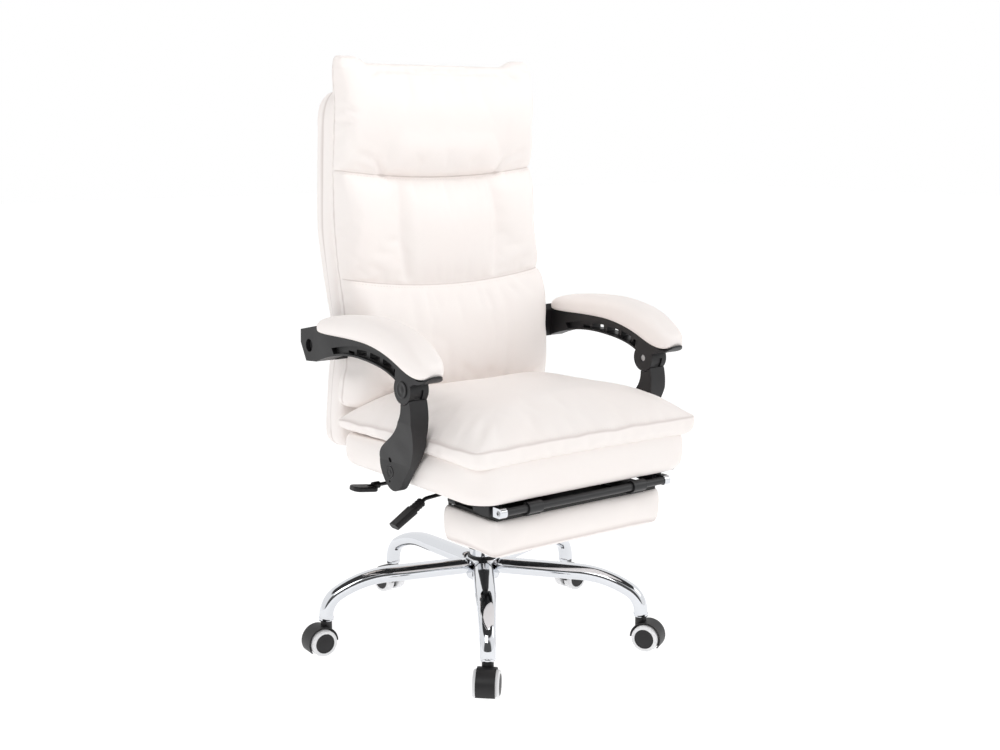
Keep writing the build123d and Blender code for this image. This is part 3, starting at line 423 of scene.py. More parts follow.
def screw_tree(metal, recess):
    """Pan-head screws, one on each point, standing along its facing; a near-black cross raised on each head
    is painted shade for a crossed recess. Head and recess have their materials before they are joined, so
    the last Set Material selects nothing."""
    tree, sizes, output = node_tree("pan_head_screws", ("Head Radius", "Head Height", "Slot Width"))
    dome = add(tree, "GeometryNodeMeshUVSphere", values={"Segments": 20, "Rings": 10},
               links={"Radius": sizes["Head Radius"]})
    share = add(tree, "ShaderNodeMath", {"operation": "DIVIDE"},
                links={0: sizes["Head Height"], 1: sizes["Head Radius"]})
    flat = add(tree, "ShaderNodeCombineXYZ", values={"X": 1.0, "Y": 1.0}, links={"Z": share.outputs[0]})
    dome = add(tree, "GeometryNodeTransform",
               links={"Geometry": dome.outputs["Mesh"], "Scale": flat.outputs[0]})
    shine = add(tree, "GeometryNodeSetMaterial", {}, {"Material": metal}, {"Geometry": dome.outputs[0]})
    parts = [shine]
    size = add(tree, "ShaderNodeCombineXYZ", links={"X": sizes["Head Radius"], "Y": sizes["Slot Width"],
                                                    "Z": sizes["Slot Width"]})
    cube = add(tree, "GeometryNodeMeshCube", links={"Size": size.outputs[0]})
    lift = add(tree, "ShaderNodeCombineXYZ", links={"Z": sizes["Head Height"]})
    drop = add(tree, "ShaderNodeVectorMath", {"operation": "SCALE"}, {"Scale": 0.78}, {0: lift.outputs[0]})
    for turn in (0.0, math.pi / 2):
        bar = add(tree, "GeometryNodeTransform", values={"Rotation": (0, 0, turn)},
                  links={"Geometry": cube.outputs["Mesh"], "Translation": drop.outputs[0]})
        parts.append(add(tree, "GeometryNodeSetMaterial", {}, {"Material": recess},
                         {"Geometry": bar.outputs[0]}))
    screw = add(tree, "GeometryNodeJoinGeometry")
    for part in parts:
        tree.links.new(part.outputs[0], screw.inputs[0])
    facing = add(tree, "GeometryNodeInputNamedAttribute", {"data_type": "FLOAT_VECTOR"}, {"Name": "facing"})
    turned = add(tree, "FunctionNodeAlignRotationToVector", {"axis": "Z"},
                 links={"Vector": facing.outputs["Attribute"]})
    placed = add(tree, "GeometryNodeInstanceOnPoints", links={
        "Points": sizes["Geometry"], "Instance": screw.outputs[0], "Rotation": turned.outputs[0]})
    real = add(tree, "GeometryNodeRealizeInstances", links={"Geometry": placed.outputs[0]})
    named = add(tree, "GeometryNodeSetMaterial", values={"Material": metal, "Selection": False},
                links={"Geometry": real.outputs[0]})
    tree.links.new(named.outputs[0], output)
    return tree


def screws(name, spots, radius, height, body):
    """Screws at spots, each (place, direction) in millimetres."""
    mesh = bpy.data.meshes.new(name)
    mesh.from_pydata([tuple(c * mm for c in place) for place, _ in spots], [], [])
    facing = mesh.attributes.new("facing", "FLOAT_VECTOR", "POINT")
    facing.data.foreach_set("vector", [c for _, direction in spots for c in direction])
    sizes = {"Head Radius": radius * mm, "Head Height": height * mm, "Slot Width": 0.3 * radius * mm}
    grown(name, mesh, cross_screws, sizes, body)


def pivot_cap(name, body, x, y, z, radius, rise):
    """A moulded cap over a pivot: a raised rim round a shallow dish. It faces the side that x is on."""
    outward = math.copysign(1, x)
    place = Matrix.Translation((x * mm, y * mm, z * mm)) @ Matrix.Rotation(outward * math.pi / 2, 4, "Y")
    dish = rise - 0.7
    profile = [
        (radius - 1, -0.4), (radius, 0.2), (radius, rise - 0.5), (radius - 0.6, rise), (radius * 0.78, rise),
        (radius * 0.70, dish), (radius * 0.36, dish), (radius * 0.30, rise - 0.2), (0, rise - 0.1)]
    cap = mesh_piece(name, *lathe(profile, 40, place), black_plastic)
    seat_on(cap, body)


# Painted shade for the screw recesses: a near-black cross raised on each zinc head stands in for the shadow
# inside the recess, where nearly no light comes back out.
recess_shade_finish = patterned("painted_recess_shade", {"Roughness": 0.6}, 300.0, tones=("#0c0c0c", "#191919"))
cross_screws = screw_tree(zinc, recess_shade_finish)

eased("mechanism_housing", "seat", 1.2 * mm, powder, "mechanism_box_pressed")
dress(powder, "height_lever_rod", "recline_lever_rod")
eased("height_lever_paddle", "height_lever", 1.0 * mm, black_plastic,
      "height_paddle_moulded")
eased("recline_lever_grip", "recline_lever", 0.9 * mm, black_plastic, "recline_grip_moulded")
dress(zinc, "seat_bolts")
mech_screws = [((sign * 68, y, 346), (0, 0, -1)) for sign in (-1, 1) for y in (-50, 0, 50)]
screws("mechanism_screws", mech_screws, 4.2, 2.4, "seat")


# ---------------- seat cushions
# A plywood board carries a boxed foam cushion, and on it lies a pillow pad with a seam at its
# widest line. Both are covered in white polyurethane leather.

# Black-stained plywood of the seat board: the grain only shows as a change of shine.
ply_grain = (9.0, 1.0, 60.0)
stained = patterned("black_stained_plywood", {}, 14.0, 5.0, tones=("#141312", "#201e1c"), shine=(0.45, 0.7),
                    over=(0.0, 1.0), stretch=ply_grain)

# Birch plywood: pale rotary-cut face, brown grain lines a few millimetres apart.
plywood = patterned("birch_plywood", {"Roughness": 0.62}, 14.0, 5.0, tones=("#b48d5f", "#dabb8c"),
                    stretch=ply_grain)
dress(stained, "seat_frame")

# White polyurethane leather: a soft sheen over a pebble grain of about 1.2 mm, a little coarser
# than life so that it shows, with painted shade along its seams.
leather, tree, surface, place = new_finish("white_pu_leather")
pebble = add(tree, "ShaderNodeTexVoronoi", {"feature": "SMOOTH_F1"}, {"Scale": 820.0}, {"Vector": place})
pore = add(tree, "ShaderNodeTexNoise", values={"Scale": 420.0, "Detail": 3.0}, links={"Vector": place})
ripple = add(tree, "ShaderNodeTexNoise", values={"Scale": 26.0, "Detail": 2.0}, links={"Vector": place})
relief = {}
for pattern, strength, rise in ((pebble.outputs["Distance"], 0.16, 0.0003),
                                (pore.outputs["Fac"], 0.12, 0.0004), (ripple.outputs["Fac"], 0.28, 0.004)):
    bump = add(tree, "ShaderNodeBump", {}, {"Strength": strength, "Distance": rise},
               {"Height": pattern, **relief})
    relief = {"Normal": bump.outputs["Normal"]}
tone = add(tree, "ShaderNodeTexNoise", values={"Scale": 7.0, "Detail": 2.0}, links={"Vector": place})
ground = add(tree, "ShaderNodeMix", {"data_type": "RGBA"}, {"A": srgb("#fbf3ef"), "B": srgb("#fbf6f3")},
             {"Factor": tone.outputs["Fac"]})
# Painted shade along the seams: where the seam attribute is 1, the colour turns to a darker grey that stands
# in for the shade in the sewn grooves.
seam_shade_mask = add(tree, "ShaderNodeAttribute", {"attribute_name": "seam"})
shade = add(tree, "ShaderNodeMix", {"data_type": "RGBA"}, {"B": srgb("#ded4d0")},
            {"Factor": seam_shade_mask.outputs["Fac"], "A": ground.outputs["Result"]})
skin_coat = add(tree, "ShaderNodeBsdfPrincipled", values={"Roughness": 0.46, "IOR": 1.48},
                links={"Base Color": shade.outputs["Result"], **relief})
tree.links.new(skin_coat.outputs[0], surface)


def edge_steps(length, step):
    """Distances along a side, closer together near both its ends."""
    fine_steps = (0, 2.5, 6, 11)
    inner = length - 2 * fine_steps[-1]
    count = max(2, round(inner / step))
    middle = [fine_steps[-1] + inner * k / count for k in range(1, count)]
    return list(fine_steps) + middle + [length - s for s in reversed(fine_steps)]


def crown_share(distance, reach):
    """How much of its full height a crowned cushion has at a distance from its edge."""
    left = 1 - min(distance / reach, 1.0)
    return max(0.0, 1 - left ** 2.3) ** 0.66


def boxed_cushion(name, half, front, rear, rows, crown, reach, corner, pinch, step, lean):
    """A closed cushion over a rectangular grid. rows are (height, inset) of the sides from the bottom
    up, crown is the height of the middle over the last row, and lean tips the top towards the front.
    Returns the piece, the indices of its top edge, and each point's share of the way up."""
    xs = [s - half for s in edge_steps(2 * half, step)]
    ys = [front + s for s in edge_steps(rear - front, step)]
    middle, depth = (front + rear) / 2, (rear - front) / 2
    low, high = rows[0][0], rows[-1][0]

    def placed(x, y, z, inset):
        """A grid point with its corner rounded, its side pulled in and its level tipped."""
        a, b = half - inset, depth - inset
        px, py = x / half * a, (y - middle) / depth * b
        u, v = (abs(px) - (a - corner)) / corner, (abs(py) - (b - corner)) / corner
        if u > 0 and v > 0:
            cu, cv = u * math.sqrt(1 - v * v / 2), v * math.sqrt(1 - u * u / 2)
            px = math.copysign(a - corner + cu * corner, px)
            py = math.copysign(b - corner + cv * corner, py)
        px -= pinch * (px / a) * (1 - (py / b) ** 2)
        py -= pinch * (py / b) * (1 - (px / a) ** 2)
        share = (z - low) / (high - low)
        tip = -(py + middle + 100) * math.tan(math.radians(lean)) * min(share, 1.0)
        return Vector((px * mm, (py + middle) * mm, (z + tip) * mm))

    points, up = [], []
    nx, ny = len(xs), len(ys)
    for is_top in (False, True):
        height, inset = rows[-1] if is_top else rows[0]
        for y in ys:
            for x in xs:
                rise = 0.0
                if is_top and crown:
                    rise = crown * crown_share(half - abs(x), reach)
                    rise *= crown_share(depth - abs(y - middle), reach)
                points.append(placed(x, y, height + rise, inset))
                up.append(1 + rise / max(crown, 1) if is_top else 0.0)
    grid = lambda i, j, top: top * nx * ny + j * nx + i
    faces = []
    for top in (0, 1):
        for j in range(ny - 1):
            for i in range(nx - 1):
                faces.append([grid(a, b, top) for a, b in ((i, j), (i + 1, j), (i + 1, j + 1), (i, j + 1))])
    around = [(i, 0) for i in range(nx)] + [(nx - 1, j) for j in range(1, ny)]
    around += [(i, ny - 1) for i in range(nx - 2, -1, -1)] + [(0, j) for j in range(ny - 2, 0, -1)]
    rings = [[grid(i, j, 0) for i, j in around]]
    for height, inset in rows[1:-1]:
        rings.append([])
        for i, j in around:
            rings[-1].append(len(points))
            points.append(placed(xs[i], ys[j], height, inset))
            up.append((height - low) / (high - low))
    rings.append([grid(i, j, 1) for i, j in around])
    count = len(around)
    for below, above in zip(rings, rings[1:]):
        for k in range(count):
            n = (k + 1) % count
            faces.append((below[k], below[n], above[n], above[k]))
    piece = mesh_piece(name, points, faces, leather)
    return piece, rings[-1], up


wadding_pressure = 4.0
cloth_frames = 14


def puffed(piece, held, swell, slack=0.0):
    """Foam and wadding push the sewn cover out, held where it is sewn or glued. No point moves further
    than swell."""
    group = piece.vertex_groups.new(name="held")
    for index, weight in enumerate(held):
        if weight > 0:
            group.add([index], min(1.0, float(weight)), "REPLACE")
    rest = np.array([v.co for v in piece.data.vertices])
    cloth = piece.modifiers.new("cloth", "CLOTH")
    cloth.settings.quality = 5
    cloth.settings.use_pressure = True
    cloth.settings.uniform_pressure_force = wadding_pressure
    cloth.settings.vertex_group_mass = "held"
    cloth.settings.shrink_min = -slack
    cloth.settings.effector_weights.gravity = 0
    for step in range(1, cloth_frames + 1):
        scene.frame_set(step)
    settled = piece.evaluated_get(bpy.context.evaluated_depsgraph_get()).to_mesh()
    now = np.array([v.co for v in settled.vertices])
    piece.modifiers.clear()
    scene.frame_set(1)
    moved = now - rest
    reach = np.linalg.norm(moved, axis=1, keepdims=True) + 1e-9
    piece.data.vertices.foreach_set("co", (rest + moved / reach * swell * np.tanh(reach / swell)).ravel())
    piece.vertex_groups.clear()
    piece.data.update()


def mark(piece, name, indices):
    """Gives a piece a point attribute that is 1 at some points and 0 elsewhere."""
    chosen = set(indices)
    marks = piece.data.attributes.new(name, "FLOAT", "POINT")
    marks.data.foreach_set("value", [1.0 if k in chosen else 0.0 for k in range(len(piece.data.vertices))])


def mark_shaded_seam(piece, indices, sharp=0.6):
    """Marks sewn lines: their points get painted seam shade in the leather and their edges keep a crease."""
    mesh = piece.data
    on_seam = set(indices)
    mark(piece, "seam", on_seam)
    creases = mesh.attributes.new("crease_edge", "FLOAT", "EDGE")
    both = [sharp if e.vertices[0] in on_seam and e.vertices[1] in on_seam else 0.0 for e in mesh.edges]
    creases.data.foreach_set("value", both)


def first_ring_in(piece, ring):
    """The points joined by an edge to a ring of points."""
    on_ring = set(ring)
    touching = [set(e.vertices) for e in piece.data.edges if not on_ring.isdisjoint(e.vertices)]
    return set().union(*touching) - on_ring


def refined(piece):
    """The cover with one more subdivision."""
    finer_mesh = piece.modifiers.new("finer", "SUBSURF")
    finer_mesh.levels = finer_mesh.render_levels = 1
    finished(piece)


def upholster(piece, body, node):
    """Puts a cushion in place of its CAD solid, riding the body."""
    seat_on(piece, body, node)


def stitch_tree(thread):
    """A row of stitches along edges: short rounded threads, one every pitch."""
    tree, sizes, output = node_tree("row_of_stitches", ("Pitch", "Stitch Length", "Thread Radius"))
    path = add(tree, "GeometryNodeMeshToCurve", links={"Mesh": sizes["Geometry"]})
    even = add(tree, "GeometryNodeResampleCurve", {"mode": "LENGTH"},
               links={"Curve": path.outputs[0], "Length": sizes["Pitch"]})
    spots = add(tree, "GeometryNodeCurveToPoints", {"mode": "EVALUATED"}, links={"Curve": even.outputs[0]})
    bead = add(tree, "GeometryNodeMeshUVSphere", values={"Segments": 6, "Rings": 5},
               links={"Radius": sizes["Thread Radius"]})
    stretch = add(tree, "ShaderNodeMath", {"operation": "DIVIDE"},
                  links={0: sizes["Stitch Length"], 1: sizes["Thread Radius"]})
    shape = add(tree, "ShaderNodeCombineXYZ", values={"X": 1.0, "Y": 1.0}, links={"Z": stretch.outputs[0]})
    placed = add(tree, "GeometryNodeInstanceOnPoints", links={
        "Points": spots.outputs["Points"], "Instance": bead.outputs["Mesh"],
        "Rotation": spots.outputs["Rotation"], "Scale": shape.outputs[0]})
    real = add(tree, "GeometryNodeRealizeInstances", links={"Geometry": placed.outputs[0]})
    named = add(tree, "GeometryNodeSetMaterial", {}, {"Material": thread}, {"Geometry": real.outputs[0]})
    tree.links.new(named.outputs[0], output)
    return tree


def sewn(name, piece, body):
    """Stitches along the edges of a cover that are marked with stitch."""
    mesh = piece.data
    on_line = [d.value > 0.98 for d in mesh.attributes["stitch"].data]
    pairs = [tuple(e.vertices) for e in mesh.edges if on_line[e.vertices[0]] and on_line[e.vertices[1]]]
    used = sorted({k for pair in pairs for k in pair})
    order = {k: i for i, k in enumerate(used)}
    normals = mesh.vertex_normals
    places = [mesh.vertices[k].co + 0.25 * mm * normals[k].vector for k in used]
    line = bpy.data.meshes.new(name)
    line.from_pydata(places, [(order[a], order[b]) for a, b in pairs], [])
    sizes = {"Pitch": 6.5 * mm, "Stitch Length": 2.3 * mm, "Thread Radius": 0.55 * mm}
    grown(name, line, stitches, sizes, body)


# Bonded polyester thread, twisted in white: a little brighter and smoother than the cover.
thread = patterned("bonded_polyester_thread", {"Roughness": 0.38}, 900.0, tones=("#eee6e2", "#fbf8f6"))
stitches = stitch_tree(thread)


def folded(piece, lines, plane, facing):
    """Presses folds into a cover. Each line runs from one point to another and has a depth and a half
    width, in mm and in the two coordinates named by plane. Only points that face along facing move."""
    mesh = piece.data
    spots = np.array([v.co for v in mesh.vertices])
    normals = np.array([n.vector for n in mesh.vertex_normals])
    flat = spots[:, plane] / mm
    shares = np.clip((normals @ np.array(facing, float) - 0.25) / 0.3, 0, 1)
    total = np.zeros(len(spots))
    for *ends, depth, half_width in lines:
        a, b = np.array(ends[:2], float), np.array(ends[2:], float)
        t = np.clip(((flat - a) @ (b - a)) / ((b - a) @ (b - a)), 0, 1)
        away = np.linalg.norm(flat - (a + t[:, None] * (b - a)), axis=1)
        fade = np.sin(math.pi * (0.08 + 0.84 * t))
        away = away / half_width
        bank = 0.35 * np.exp(-((away - 1.9) ** 2))
        total += depth * mm * fade * (np.exp(-away ** 2) - bank)
    spots -= normals * (total * shares)[:, None]
    mesh.vertices.foreach_set("co", spots.ravel())
    mesh.update()


box_rows = [(350, 12), (353, 6), (360, 1.5), (371, 0), (384, 0), (397, 0), (406, 1), (411.5, 4), (415.3, 9)]
base_cushion, _, base_up = boxed_cushion(
    "seat_box_cushion", half=244.5, front=-315, rear=127, rows=box_rows, crown=0, reach=60, corner=46,
    pinch=2.5, step=13, lean=2)
held = [1.0 if u == 0 or u >= 1 else 0.0 for u in base_up]
puffed(base_cushion, held, 3 * mm)
refined(base_cushion)
upholster(base_cushion, "seat", "seat_base_cushion")

pillow_rows = [(416.2, 10), (418, 6), (421.5, 3), (426, 1.2), (431, 0.4), (435, 0), (438, 0.2), (440, 1.2)]
seat_pillow, pillow_seam, pillow_up = boxed_cushion(
    "seat_pillow_cushion", half=252, front=-323, rear=123, rows=pillow_rows, crown=53, reach=128, corner=22,
    pinch=7.5, step=9.5, lean=2)
for vertex, share in zip(seat_pillow.data.vertices, pillow_up):
    near_seam = math.exp(-((share - 1.0) / 0.25) ** 2)
    vertex.co.z += 2.4 * mm * noise.noise(vertex.co / (38 * mm)) * near_seam
held = [1.0 if u == 0 else (0.92 if 0.85 < u <= 1.0 else 0.0) for u in pillow_up]
puffed(seat_pillow, held, 10 * mm, slack=0.012)
mark_shaded_seam(seat_pillow, pillow_seam)
mark(seat_pillow, "stitch", [k for k in first_ring_in(seat_pillow, pillow_seam) if pillow_up[k] > 1])
refined(seat_pillow)
seat_folds = [
    (-242, -306, -176, -258, 2.8, 8), (-246, -262, -196, -240, 2.2, 7), (-206, -318, -172, -272, 2.0, 7),
    (240, -306, 186, -266, 2.4, 8), (244, -256, 200, -236, 1.8, 7), (-150, 40, -60, 58, 1.8, 10),
    (60, 56, 150, 36, 1.6, 10), (-232, -60, -196, -66, 2.0, 8), (-230, 20, -190, 34, 2.2, 8),
    (-120, -312, -96, -268, 1.2, 8), (90, -312, 76, -276, 1.0, 8)]
folded(seat_pillow, seat_folds, [0, 1], (0, 0, 1))
sewn("seat_pillow_stitches", seat_pillow, "seat")
upholster(seat_pillow, "seat", "seat_pillow_pad")


# ---------------- armrests
# Each armrest is a moulded post bolted to the seat's side rail and a moulded arm bolted to the
# back panel, joined by a pinned knuckle. A padded, leather-covered rest is screwed on the arm.
for side, sign in (("left", 1), ("right", -1)):
    eased(f"arm_{side}", f"arm_{side}", 1.0 * mm, black_plastic, f"arm_{side}_moulded")
    eased(f"post_{side}", f"post_{side}", 1.6 * mm, black_plastic, f"post_{side}_moulded")
    dress(zinc, f"knuckle_pin_{side}")
    pivot_cap(f"knuckle_cap_{side}", f"arm_{side}", sign * 289.7, -168, 535, 14.5, 2.2)
    pivot_cap(f"foot_bolt_cap_{side}", "seat", sign * 265.0, -90, 376, 10.8, 1.6)
    pivot_cap(f"rear_bolt_cap_{side}", "back", sign * 280.8, 140, 572, 10.8, 1.6)
    under_arm = [((sign * 271.5, y, z), (0, 0.12, -1)) for y, z in ((60, 598.4), (-60, 597.2))]
    screws(f"arm_rest_screws_{side}", under_arm, 3.6, 2.0, f"arm_{side}")
    stations = [
        (101, 602, 611, 20), (99, 601, 618, 25), (94, 600, 624.5, 28.5), (84, 599, 629, 30.5),
        (66, 598.5, 633, 31), (40, 599, 636.5, 31), (0, 599.5, 640, 31), (-35, 599, 642.3, 31),
        (-70, 597, 643, 31), (-100, 592, 641.5, 31), (-125, 586, 638, 31), (-150, 578, 633.5, 31),
        (-172, 568.5, 627, 31), (-190, 561.5, 619, 30.6), (-206, 557.5, 609.5, 29.6),
        (-219, 557, 600.5, 27.4), (-229, 558.5, 593, 24), (-236, 561, 587, 19), (-240, 564.5, 580, 12)]
    rings, around = [], 36
    for y, low, high, half in stations:
        ring, tall = [], (high - low) / 2
        for k in range(around):
            t = 2 * math.pi * k / around
            across = half * squarer(math.cos(t), 0.62)
            up = tall * squarer(math.sin(t), 0.8 if math.sin(t) > 0 else 0.45)
            ring.append(Vector((sign * (271.5 + across) * mm, y * mm, (low + tall + up) * mm)))
        rings.append(ring)
    rest_pad = mesh_piece(f"arm_rest_{side}_padded", *skin(rings), leather)
    under, last_ring = range(around // 2 + 1, around), around * (len(stations) - 1)
    held = [1.0 if k % around in under or k < around or k >= last_ring else 0.0
            for k in range(len(rest_pad.data.vertices))]
    puffed(rest_pad, held, 3 * mm)
    mark(rest_pad, "seam", [])
    refined(rest_pad)
    upholster(rest_pad, f"arm_{side}", f"arm_pad_{side}")


# ---------------- backrest
# A plywood panel wrapped in a foam shell, S-shaped from the side, with a pillow-top pad sewn over
# its front. Two cross seams and two upright channels divide the pad into headrest, back and lumbar.
dress(plywood, "back_frame")
dress(zinc, "back_bolts")
shell_table = [
    (366, 164, 207, -18), (372, 158.5, 213, -9), (378, 156, 217, -5), (400, 153.5, 216, -1),
    (430, 152, 215, 0), (486, 141, 211, 0), (546, 126, 200, 0), (600, 131, 196, 0), (650, 141, 209, 0),
    (705, 151, 223, 0), (784, 161, 235, 0), (889, 154, 233, 0), (975, 148, 227, 0), (1000, 147, 223, -3),
    (1012, 147, 221, -7), (1023, 149, 217, -14), (1029, 150, 213, -20), (1032, 152, 209, -28)]
pad_table = [
    (451, 90, -8, 1), (463, 78, 2, 2), (495, 71, 3, 3), (530, 68, 0.5, 3), (565, 67, 0, 3), (618, 71, 0, 3),
    (640, 76.5, 0, 2), (652, 82, 0, 2), (662, 89, -1, 1), (670, 101, -2.5, 0), (677, 99, -1.5, 1.5),
    (690, 99, 0, 5), (735, 103, 0, 8), (800, 109, 0, 8), (840, 116, 0, 6), (856, 122, -0.5, 3),
    (866, 129, -1.5, 1), (871, 136, -3, 0), (877, 130, -2, 0.5), (891, 124, -1, 1), (940, 117, -1, 0),
    (1000, 115, -2, 0), (1048, 120, -3, 0), (1064, 124, -4, 0), (1072, 130, -5, 0), (1082, 135, -7, 0),
    (1088, 145, -12, 0)]
rear_table = [(z, front + 10) for z, front, _, _ in shell_table[:-3]]
rear_table += [(1030, 161), (1048, 163), (1076, 163), (1088, 157)]
low_seam, high_seam = 670, 871
pad_half, side_points = 226, 7


def read_table(table, z, column):
    """A smooth curve through a table's rows that never swings past them."""
    k = max(1, min(len(table) - 1, next((i for i, row in enumerate(table) if row[0] > z), len(table) - 1)))
    slope = lambda i: (table[i][column] - table[i - 1][column]) / (table[i][0] - table[i - 1][0])

    def tangent(i):
        if i == 0 or i == len(table) - 1:
            return slope(max(i, 1))
        a, b = slope(i), slope(i + 1)
        return 0.0 if a * b <= 0 else 2 * a * b / (a + b)

    low, high = table[k - 1], table[k]
    span = high[0] - low[0]
    t = max(0.0, min(1.0, (z - low[0]) / span))
    return ((2 * t ** 3 - 3 * t ** 2 + 1) * low[column] + (t ** 3 - 2 * t ** 2 + t) * span * tangent(k - 1)
            + (3 * t ** 2 - 2 * t ** 3) * high[column] + (t ** 3 - t ** 2) * span * tangent(k))


def smooth_step(value, low, high):
    """Rises from 0 to 1 between low and high."""
    t = max(0.0, min(1.0, (value - low) / (high - low)))
    return t * t * (3 - 2 * t)


def upright_cushion(name, levels, columns, outline):
    """A closed upright cushion. outline(z, share, spot) gives a point: spot is front, rear or a side
    from 0 at the front to 1 at the rear, and share runs from -1 to 1 across."""
    rings = []
    for z in levels:
        ring = [outline(z, share, "front", 0) for share in columns]
        ring += [outline(z, 1, "side", (k + 1) / (side_points + 1)) for k in range(side_points)]
        ring += [outline(z, share, "rear", 1) for share in reversed(columns)]
        ring += [outline(z, -1, "side", 1 - (k + 1) / (side_points + 1)) for k in range(side_points)]
        rings.append(ring)
    points, faces = skin(rings, closed_ends=False)
    count, across = len(rings[0]), len(columns)
    for start in (0, (len(rings) - 1) * count):
        end = start + 2 * across + side_points
        front, rear = range(start, start + across), range(end - 1, end - 1 - across, -1)
        for i in range(across - 1):
            faces.append((front[i], front[i + 1], rear[i + 1], rear[i]))
        faces.append((front[-1], *range(start + across, start + across + side_points), rear[-1]))
        faces.append((rear[0], *range(end, end + side_points), front[0]))
    return mesh_piece(name, points, faces, leather), count


def shell_point(z, share, spot, along):
    """A point of the rear shell: a rounded rectangle at each level."""
    front, rear, wider = (read_table(shell_table, z, column) for column in (1, 2, 3))
    half, corner = 224.5 + wider, 12.0
    if spot == "side":
        x, y = half, front + corner + (rear - front - 2 * corner) * along
        if abs(along - 0.5) < 0.01:
            x -= 1.6
    else:
        x = abs(share) * half
        over = max(0.0, (x - (half - corner)) / corner)
        drop = corner * (1 - math.sqrt(max(0.0, 1 - over * over))) if over < 1 else corner
        y = front + drop if spot == "front" else rear - drop
    return Vector((math.copysign(x, share) * mm, y * mm, z * mm))


def pad_point(z, share, spot, along):
    """A point of the pillow-top pad, with swells between its seams and channels and ears at its top."""
    front, wider, channel = (read_table(pad_table, z, column) for column in (1, 2, 3))
    half, rear = pad_half + wider, read_table(rear_table, z, 1)
    depth = rear - front
    round_x, round_y = min(34.0, 0.75 * depth), 0.52 * depth
    if spot == "side":
        x = half - 1.5 * along if along < 0.6 else half - 1 - 12 * (along - 0.6)
        y = front + round_y + (depth - round_y) * along
    else:
        x = abs(share) * half
        if spot == "front":
            over = max(0.0, (x - (half - round_x)) / round_x)
            y = front + round_y * (1 - math.sqrt(max(0.0, 1 - over ** 2.2)))
            belly = 1 - min(1.0, x / half) ** 2
            y -= 2.5 * belly * smooth_step(depth, 10, 40)
            y += channel * math.exp(-abs(x - 106) / 9) - 0.35 * channel * math.exp(-((x - 84) / 9) ** 2)
            roll = smooth_step(z, high_seam, 884) * (1 - smooth_step(z, 896, 962))
            beside = smooth_step(x, 120, 150) * (1 - smooth_step(x, 180, 214))
            y -= roll * (9 * (1 - smooth_step(x, 104, 136)) - 3 * beside)
            tuck = smooth_step(z, 640, 668) * (1 - smooth_step(z, 668, 672))
            y -= 2.0 * tuck * belly
        else:
            x = min(x, half - 6.5 * smooth_step(abs(share), 0.8, 1))
            y = rear
    sag = 20 * smooth_step(z, 480, 668) * (1 - 0.2 * smooth_step(z, 700, 860))
    sag *= 1 - smooth_step(z, 900, 1030)
    ear = smooth_step(abs(share), 0.70, 0.86)
    lift = sag * (x / half) ** 2 + smooth_step(z, 1010, 1088) * (4 * ear - 8 * (1 - ear))
    return Vector((math.copysign(x, share) * mm, y * mm, (z + lift) * mm))


def levels_between(marks, tight, step, extra):
    """Heights from the first mark to the last, close together at the tight ones, and some extra."""
    levels = {marks[0], marks[-1], *extra}
    for low, high in zip(marks, marks[1:]):
        start, stop = low, high
        if low in tight:
            levels.update((low, low + 1.6, low + 4.2, low + 8.0))
            start = low + 8.0
        if high in tight:
            levels.update((high, high - 1.6, high - 4.2, high - 8.0))
            stop = high - 8.0
        count = max(1, round((stop - start) / step))
        levels.update(start + (stop - start) * k / count for k in range(count + 1))
    return sorted(round(z, 3) for z in levels)


columns = [-1, -0.975, -0.945, -0.91] + [-0.88 + 1.76 * k / 54 for k in range(55)] + [0.91, 0.945, 0.975, 1]
shell_levels = levels_between([366, 378, 1000, 1032], (), 9, [367.5, 370, 1029, 1031])
back_shell, ring_count = upright_cushion("back_shell_cushion", shell_levels, columns, shell_point)
per_side = len(columns)
rear_end = 2 * per_side + side_points
seam_slots = (per_side + 3, rear_end + 3)
held = []
for k in range(len(back_shell.data.vertices)):
    slot_number = k % ring_count
    held.append(1.0 if slot_number < per_side or slot_number in seam_slots or k < 2 * ring_count else 0.0)
puffed(back_shell, held, 6 * mm)
mark_shaded_seam(back_shell, [k for k in range(len(back_shell.data.vertices)) if k % ring_count in seam_slots])
refined(back_shell)
upholster(back_shell, "back", "back_shell")

pad_levels = levels_between([451, low_seam, high_seam, 1066, 1088], (low_seam, high_seam, 1066), 7.0,
                            [452.5, 455, 1086, 1083])
back_pad, ring_count = upright_cushion("back_pillow_cushion", pad_levels, columns, pad_point)
seam_rows = [pad_levels.index(low_seam), pad_levels.index(high_seam)]
side_slots = (per_side + 2, rear_end + 4)
# The rear, the sides, the cross seams, the channels and the ends are held.
held, seams = [], []
for k in range(len(back_pad.data.vertices)):
    row, slot_number = divmod(k, ring_count)
    is_rear = per_side + side_points <= slot_number < rear_end
    near_seam = min(abs(pad_levels[row] - low_seam), abs(pad_levels[row] - high_seam))
    weight = max(0.0, 1 - near_seam / 9)
    if slot_number < per_side and 672 < pad_levels[row] < 868:
        weight = max(weight, 1 - abs(abs(columns[slot_number]) * pad_half - 110) / 7)
    if is_rear or slot_number in side_slots or row < 2:
        weight = 1.0
    if row > len(pad_levels) - 4:
        weight = max(weight, 0.8)
    held.append(max(0.0, weight))
    if (row in seam_rows and slot_number < per_side) or (slot_number in side_slots and row > 2):
        seams.append(k)
puffed(back_pad, held, 10 * mm, slack=0.018)
mark_shaded_seam(back_pad, seams)
below_seams = [row - 2 for row in seam_rows]
mark(back_pad, "stitch", [row * ring_count + i for row in below_seams for i in range(2, per_side - 2)])
refined(back_pad)
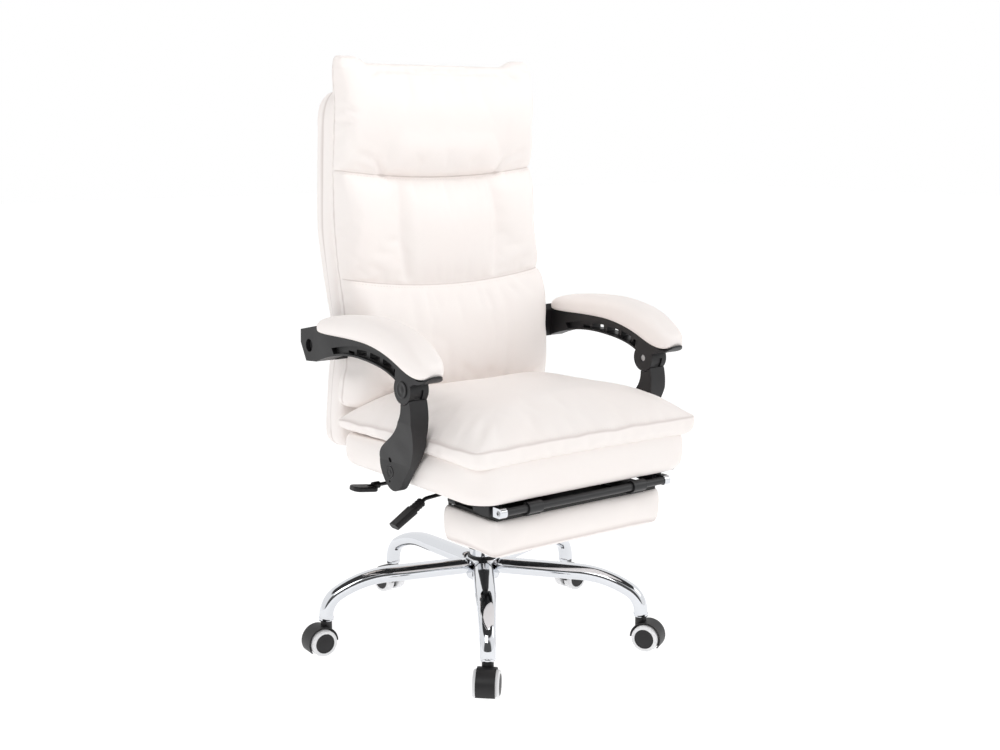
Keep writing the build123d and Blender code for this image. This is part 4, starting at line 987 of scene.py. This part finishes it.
twin_folds = [
    (126, 872, 152, 906, 4.6, 6), (146, 902, 196, 922, 3.2, 7), (134, 880, 206, 898, 1.8, 6),
    (204, 925, 216, 985, 1.8, 6), (150, 700, 196, 716, 1.6, 8), (118, 666, 146, 640, 2.0, 8),
    (150, 474, 205, 500, 2.4, 8), (138, 1068, 176, 1052, 3.0, 6), (120, 1066, 150, 1036, 1.6, 6)]
pad_folds = [(sign * x, z, sign * x2, z2, depth, wide) for sign in (-1, 1)
             for x, z, x2, z2, depth, wide in twin_folds]
pad_folds += [
    (-150, 1068, 150, 1068, 5.0, 5), (-226, 1004, -196, 990, 3.0, 5), (-228, 980, -200, 968, 2.6, 5),
    (-40, 560, -20, 470, 2.6, 10), (-10, 520, 46, 480, 2.4, 9), (50, 500, 120, 476, 1.8, 9),
    (-120, 500, -60, 470, 2.0, 9), (-96, 590, -30, 560, 1.2, 12)]
folded(back_pad, pad_folds, [0, 2], (0, -1, 0))
sewn("back_pillow_stitches", back_pad, "back")
upholster(back_pad, "back", "back_pillow_pad")


# ---------------- back hinge
# Two black strap hinges under the seat board carry the back: bent steel arms, short leaves
# screwed to the shell and a zinc-plated pin through each.
eased("back_hinge_arms", "seat", 0.8 * mm, powder, "hinge_arms_bent")
eased("back_hinge_leaves", "back", 0.6 * mm, powder, "hinge_leaves_bent")
dress(zinc, "back_hinge_pins")
leaf_screws = [((sign * 110 + x, 212.6, z), (0, 1, 0))
               for sign in (-1, 1) for x in (-12, 12) for z in (434, 460)]
screws("hinge_leaf_screws", leaf_screws, 4.0, 2.2, "back")
arm_screws = [((sign * 110 + x, y, 345.2), (0, 0, -1))
              for sign in (-1, 1) for x in (-11, 11) for y in (40, 84)]
screws("hinge_arm_screws", arm_screws, 4.4, 2.4, "seat")


# ---------------- footrest
# Two steel runners slide in plastic guides under the seat board and end in plated corner blocks
# with a tube between them. The padded board lies under it and flips over the tube when drawn out.
eased("footrest_corners", "footrest_frame", 0.8 * mm, chrome, "footrest_corner_blocks")
eased("footrest_guides", "seat", 0.8 * mm, black_plastic, "footrest_guides_moulded")
eased("footrest_hinges", "footrest_pad", 0.5 * mm, powder, "footrest_hinge_straps")
dress(powder, "footrest_runners", "footrest_tube")
dress(stained, "footrest_board")
foot_rows = [(-316, 5), (-312, 2), (-304, 0.5), (-292, 0), (-278, 0), (-264, 0.8), (-255, 3.5)]
foot_pad, foot_edge, foot_up = boxed_cushion(
    "footrest_cushion_padded", half=193, front=-290, rear=-138, rows=foot_rows, crown=8, reach=40, corner=12,
    pinch=1.5, step=10, lean=0)
for vertex in foot_pad.data.vertices:
    vertex.co.z = -vertex.co.z
foot_pad.data.flip_normals()
puffed(foot_pad, [1.0 if u == 0 else 0.0 for u in foot_up], 3.5 * mm)
mark_shaded_seam(foot_pad, foot_edge, 0.0)
refined(foot_pad)
upholster(foot_pad, "footrest_pad", "footrest_cushion")
end_screws = [((sign * 192, -304, 336), (sign, 0, 0)) for sign in (-1, 1)]
screws("footrest_end_screws", end_screws, 4.6, 1.8, "footrest_frame")
guide_screws = [((sign * 185.5 + x, -175, 325), (0, 0, -1)) for sign in (-1, 1) for x in (-6.5, 6.5)]
screws("footrest_guide_screws", guide_screws, 3.0, 1.6, "seat")
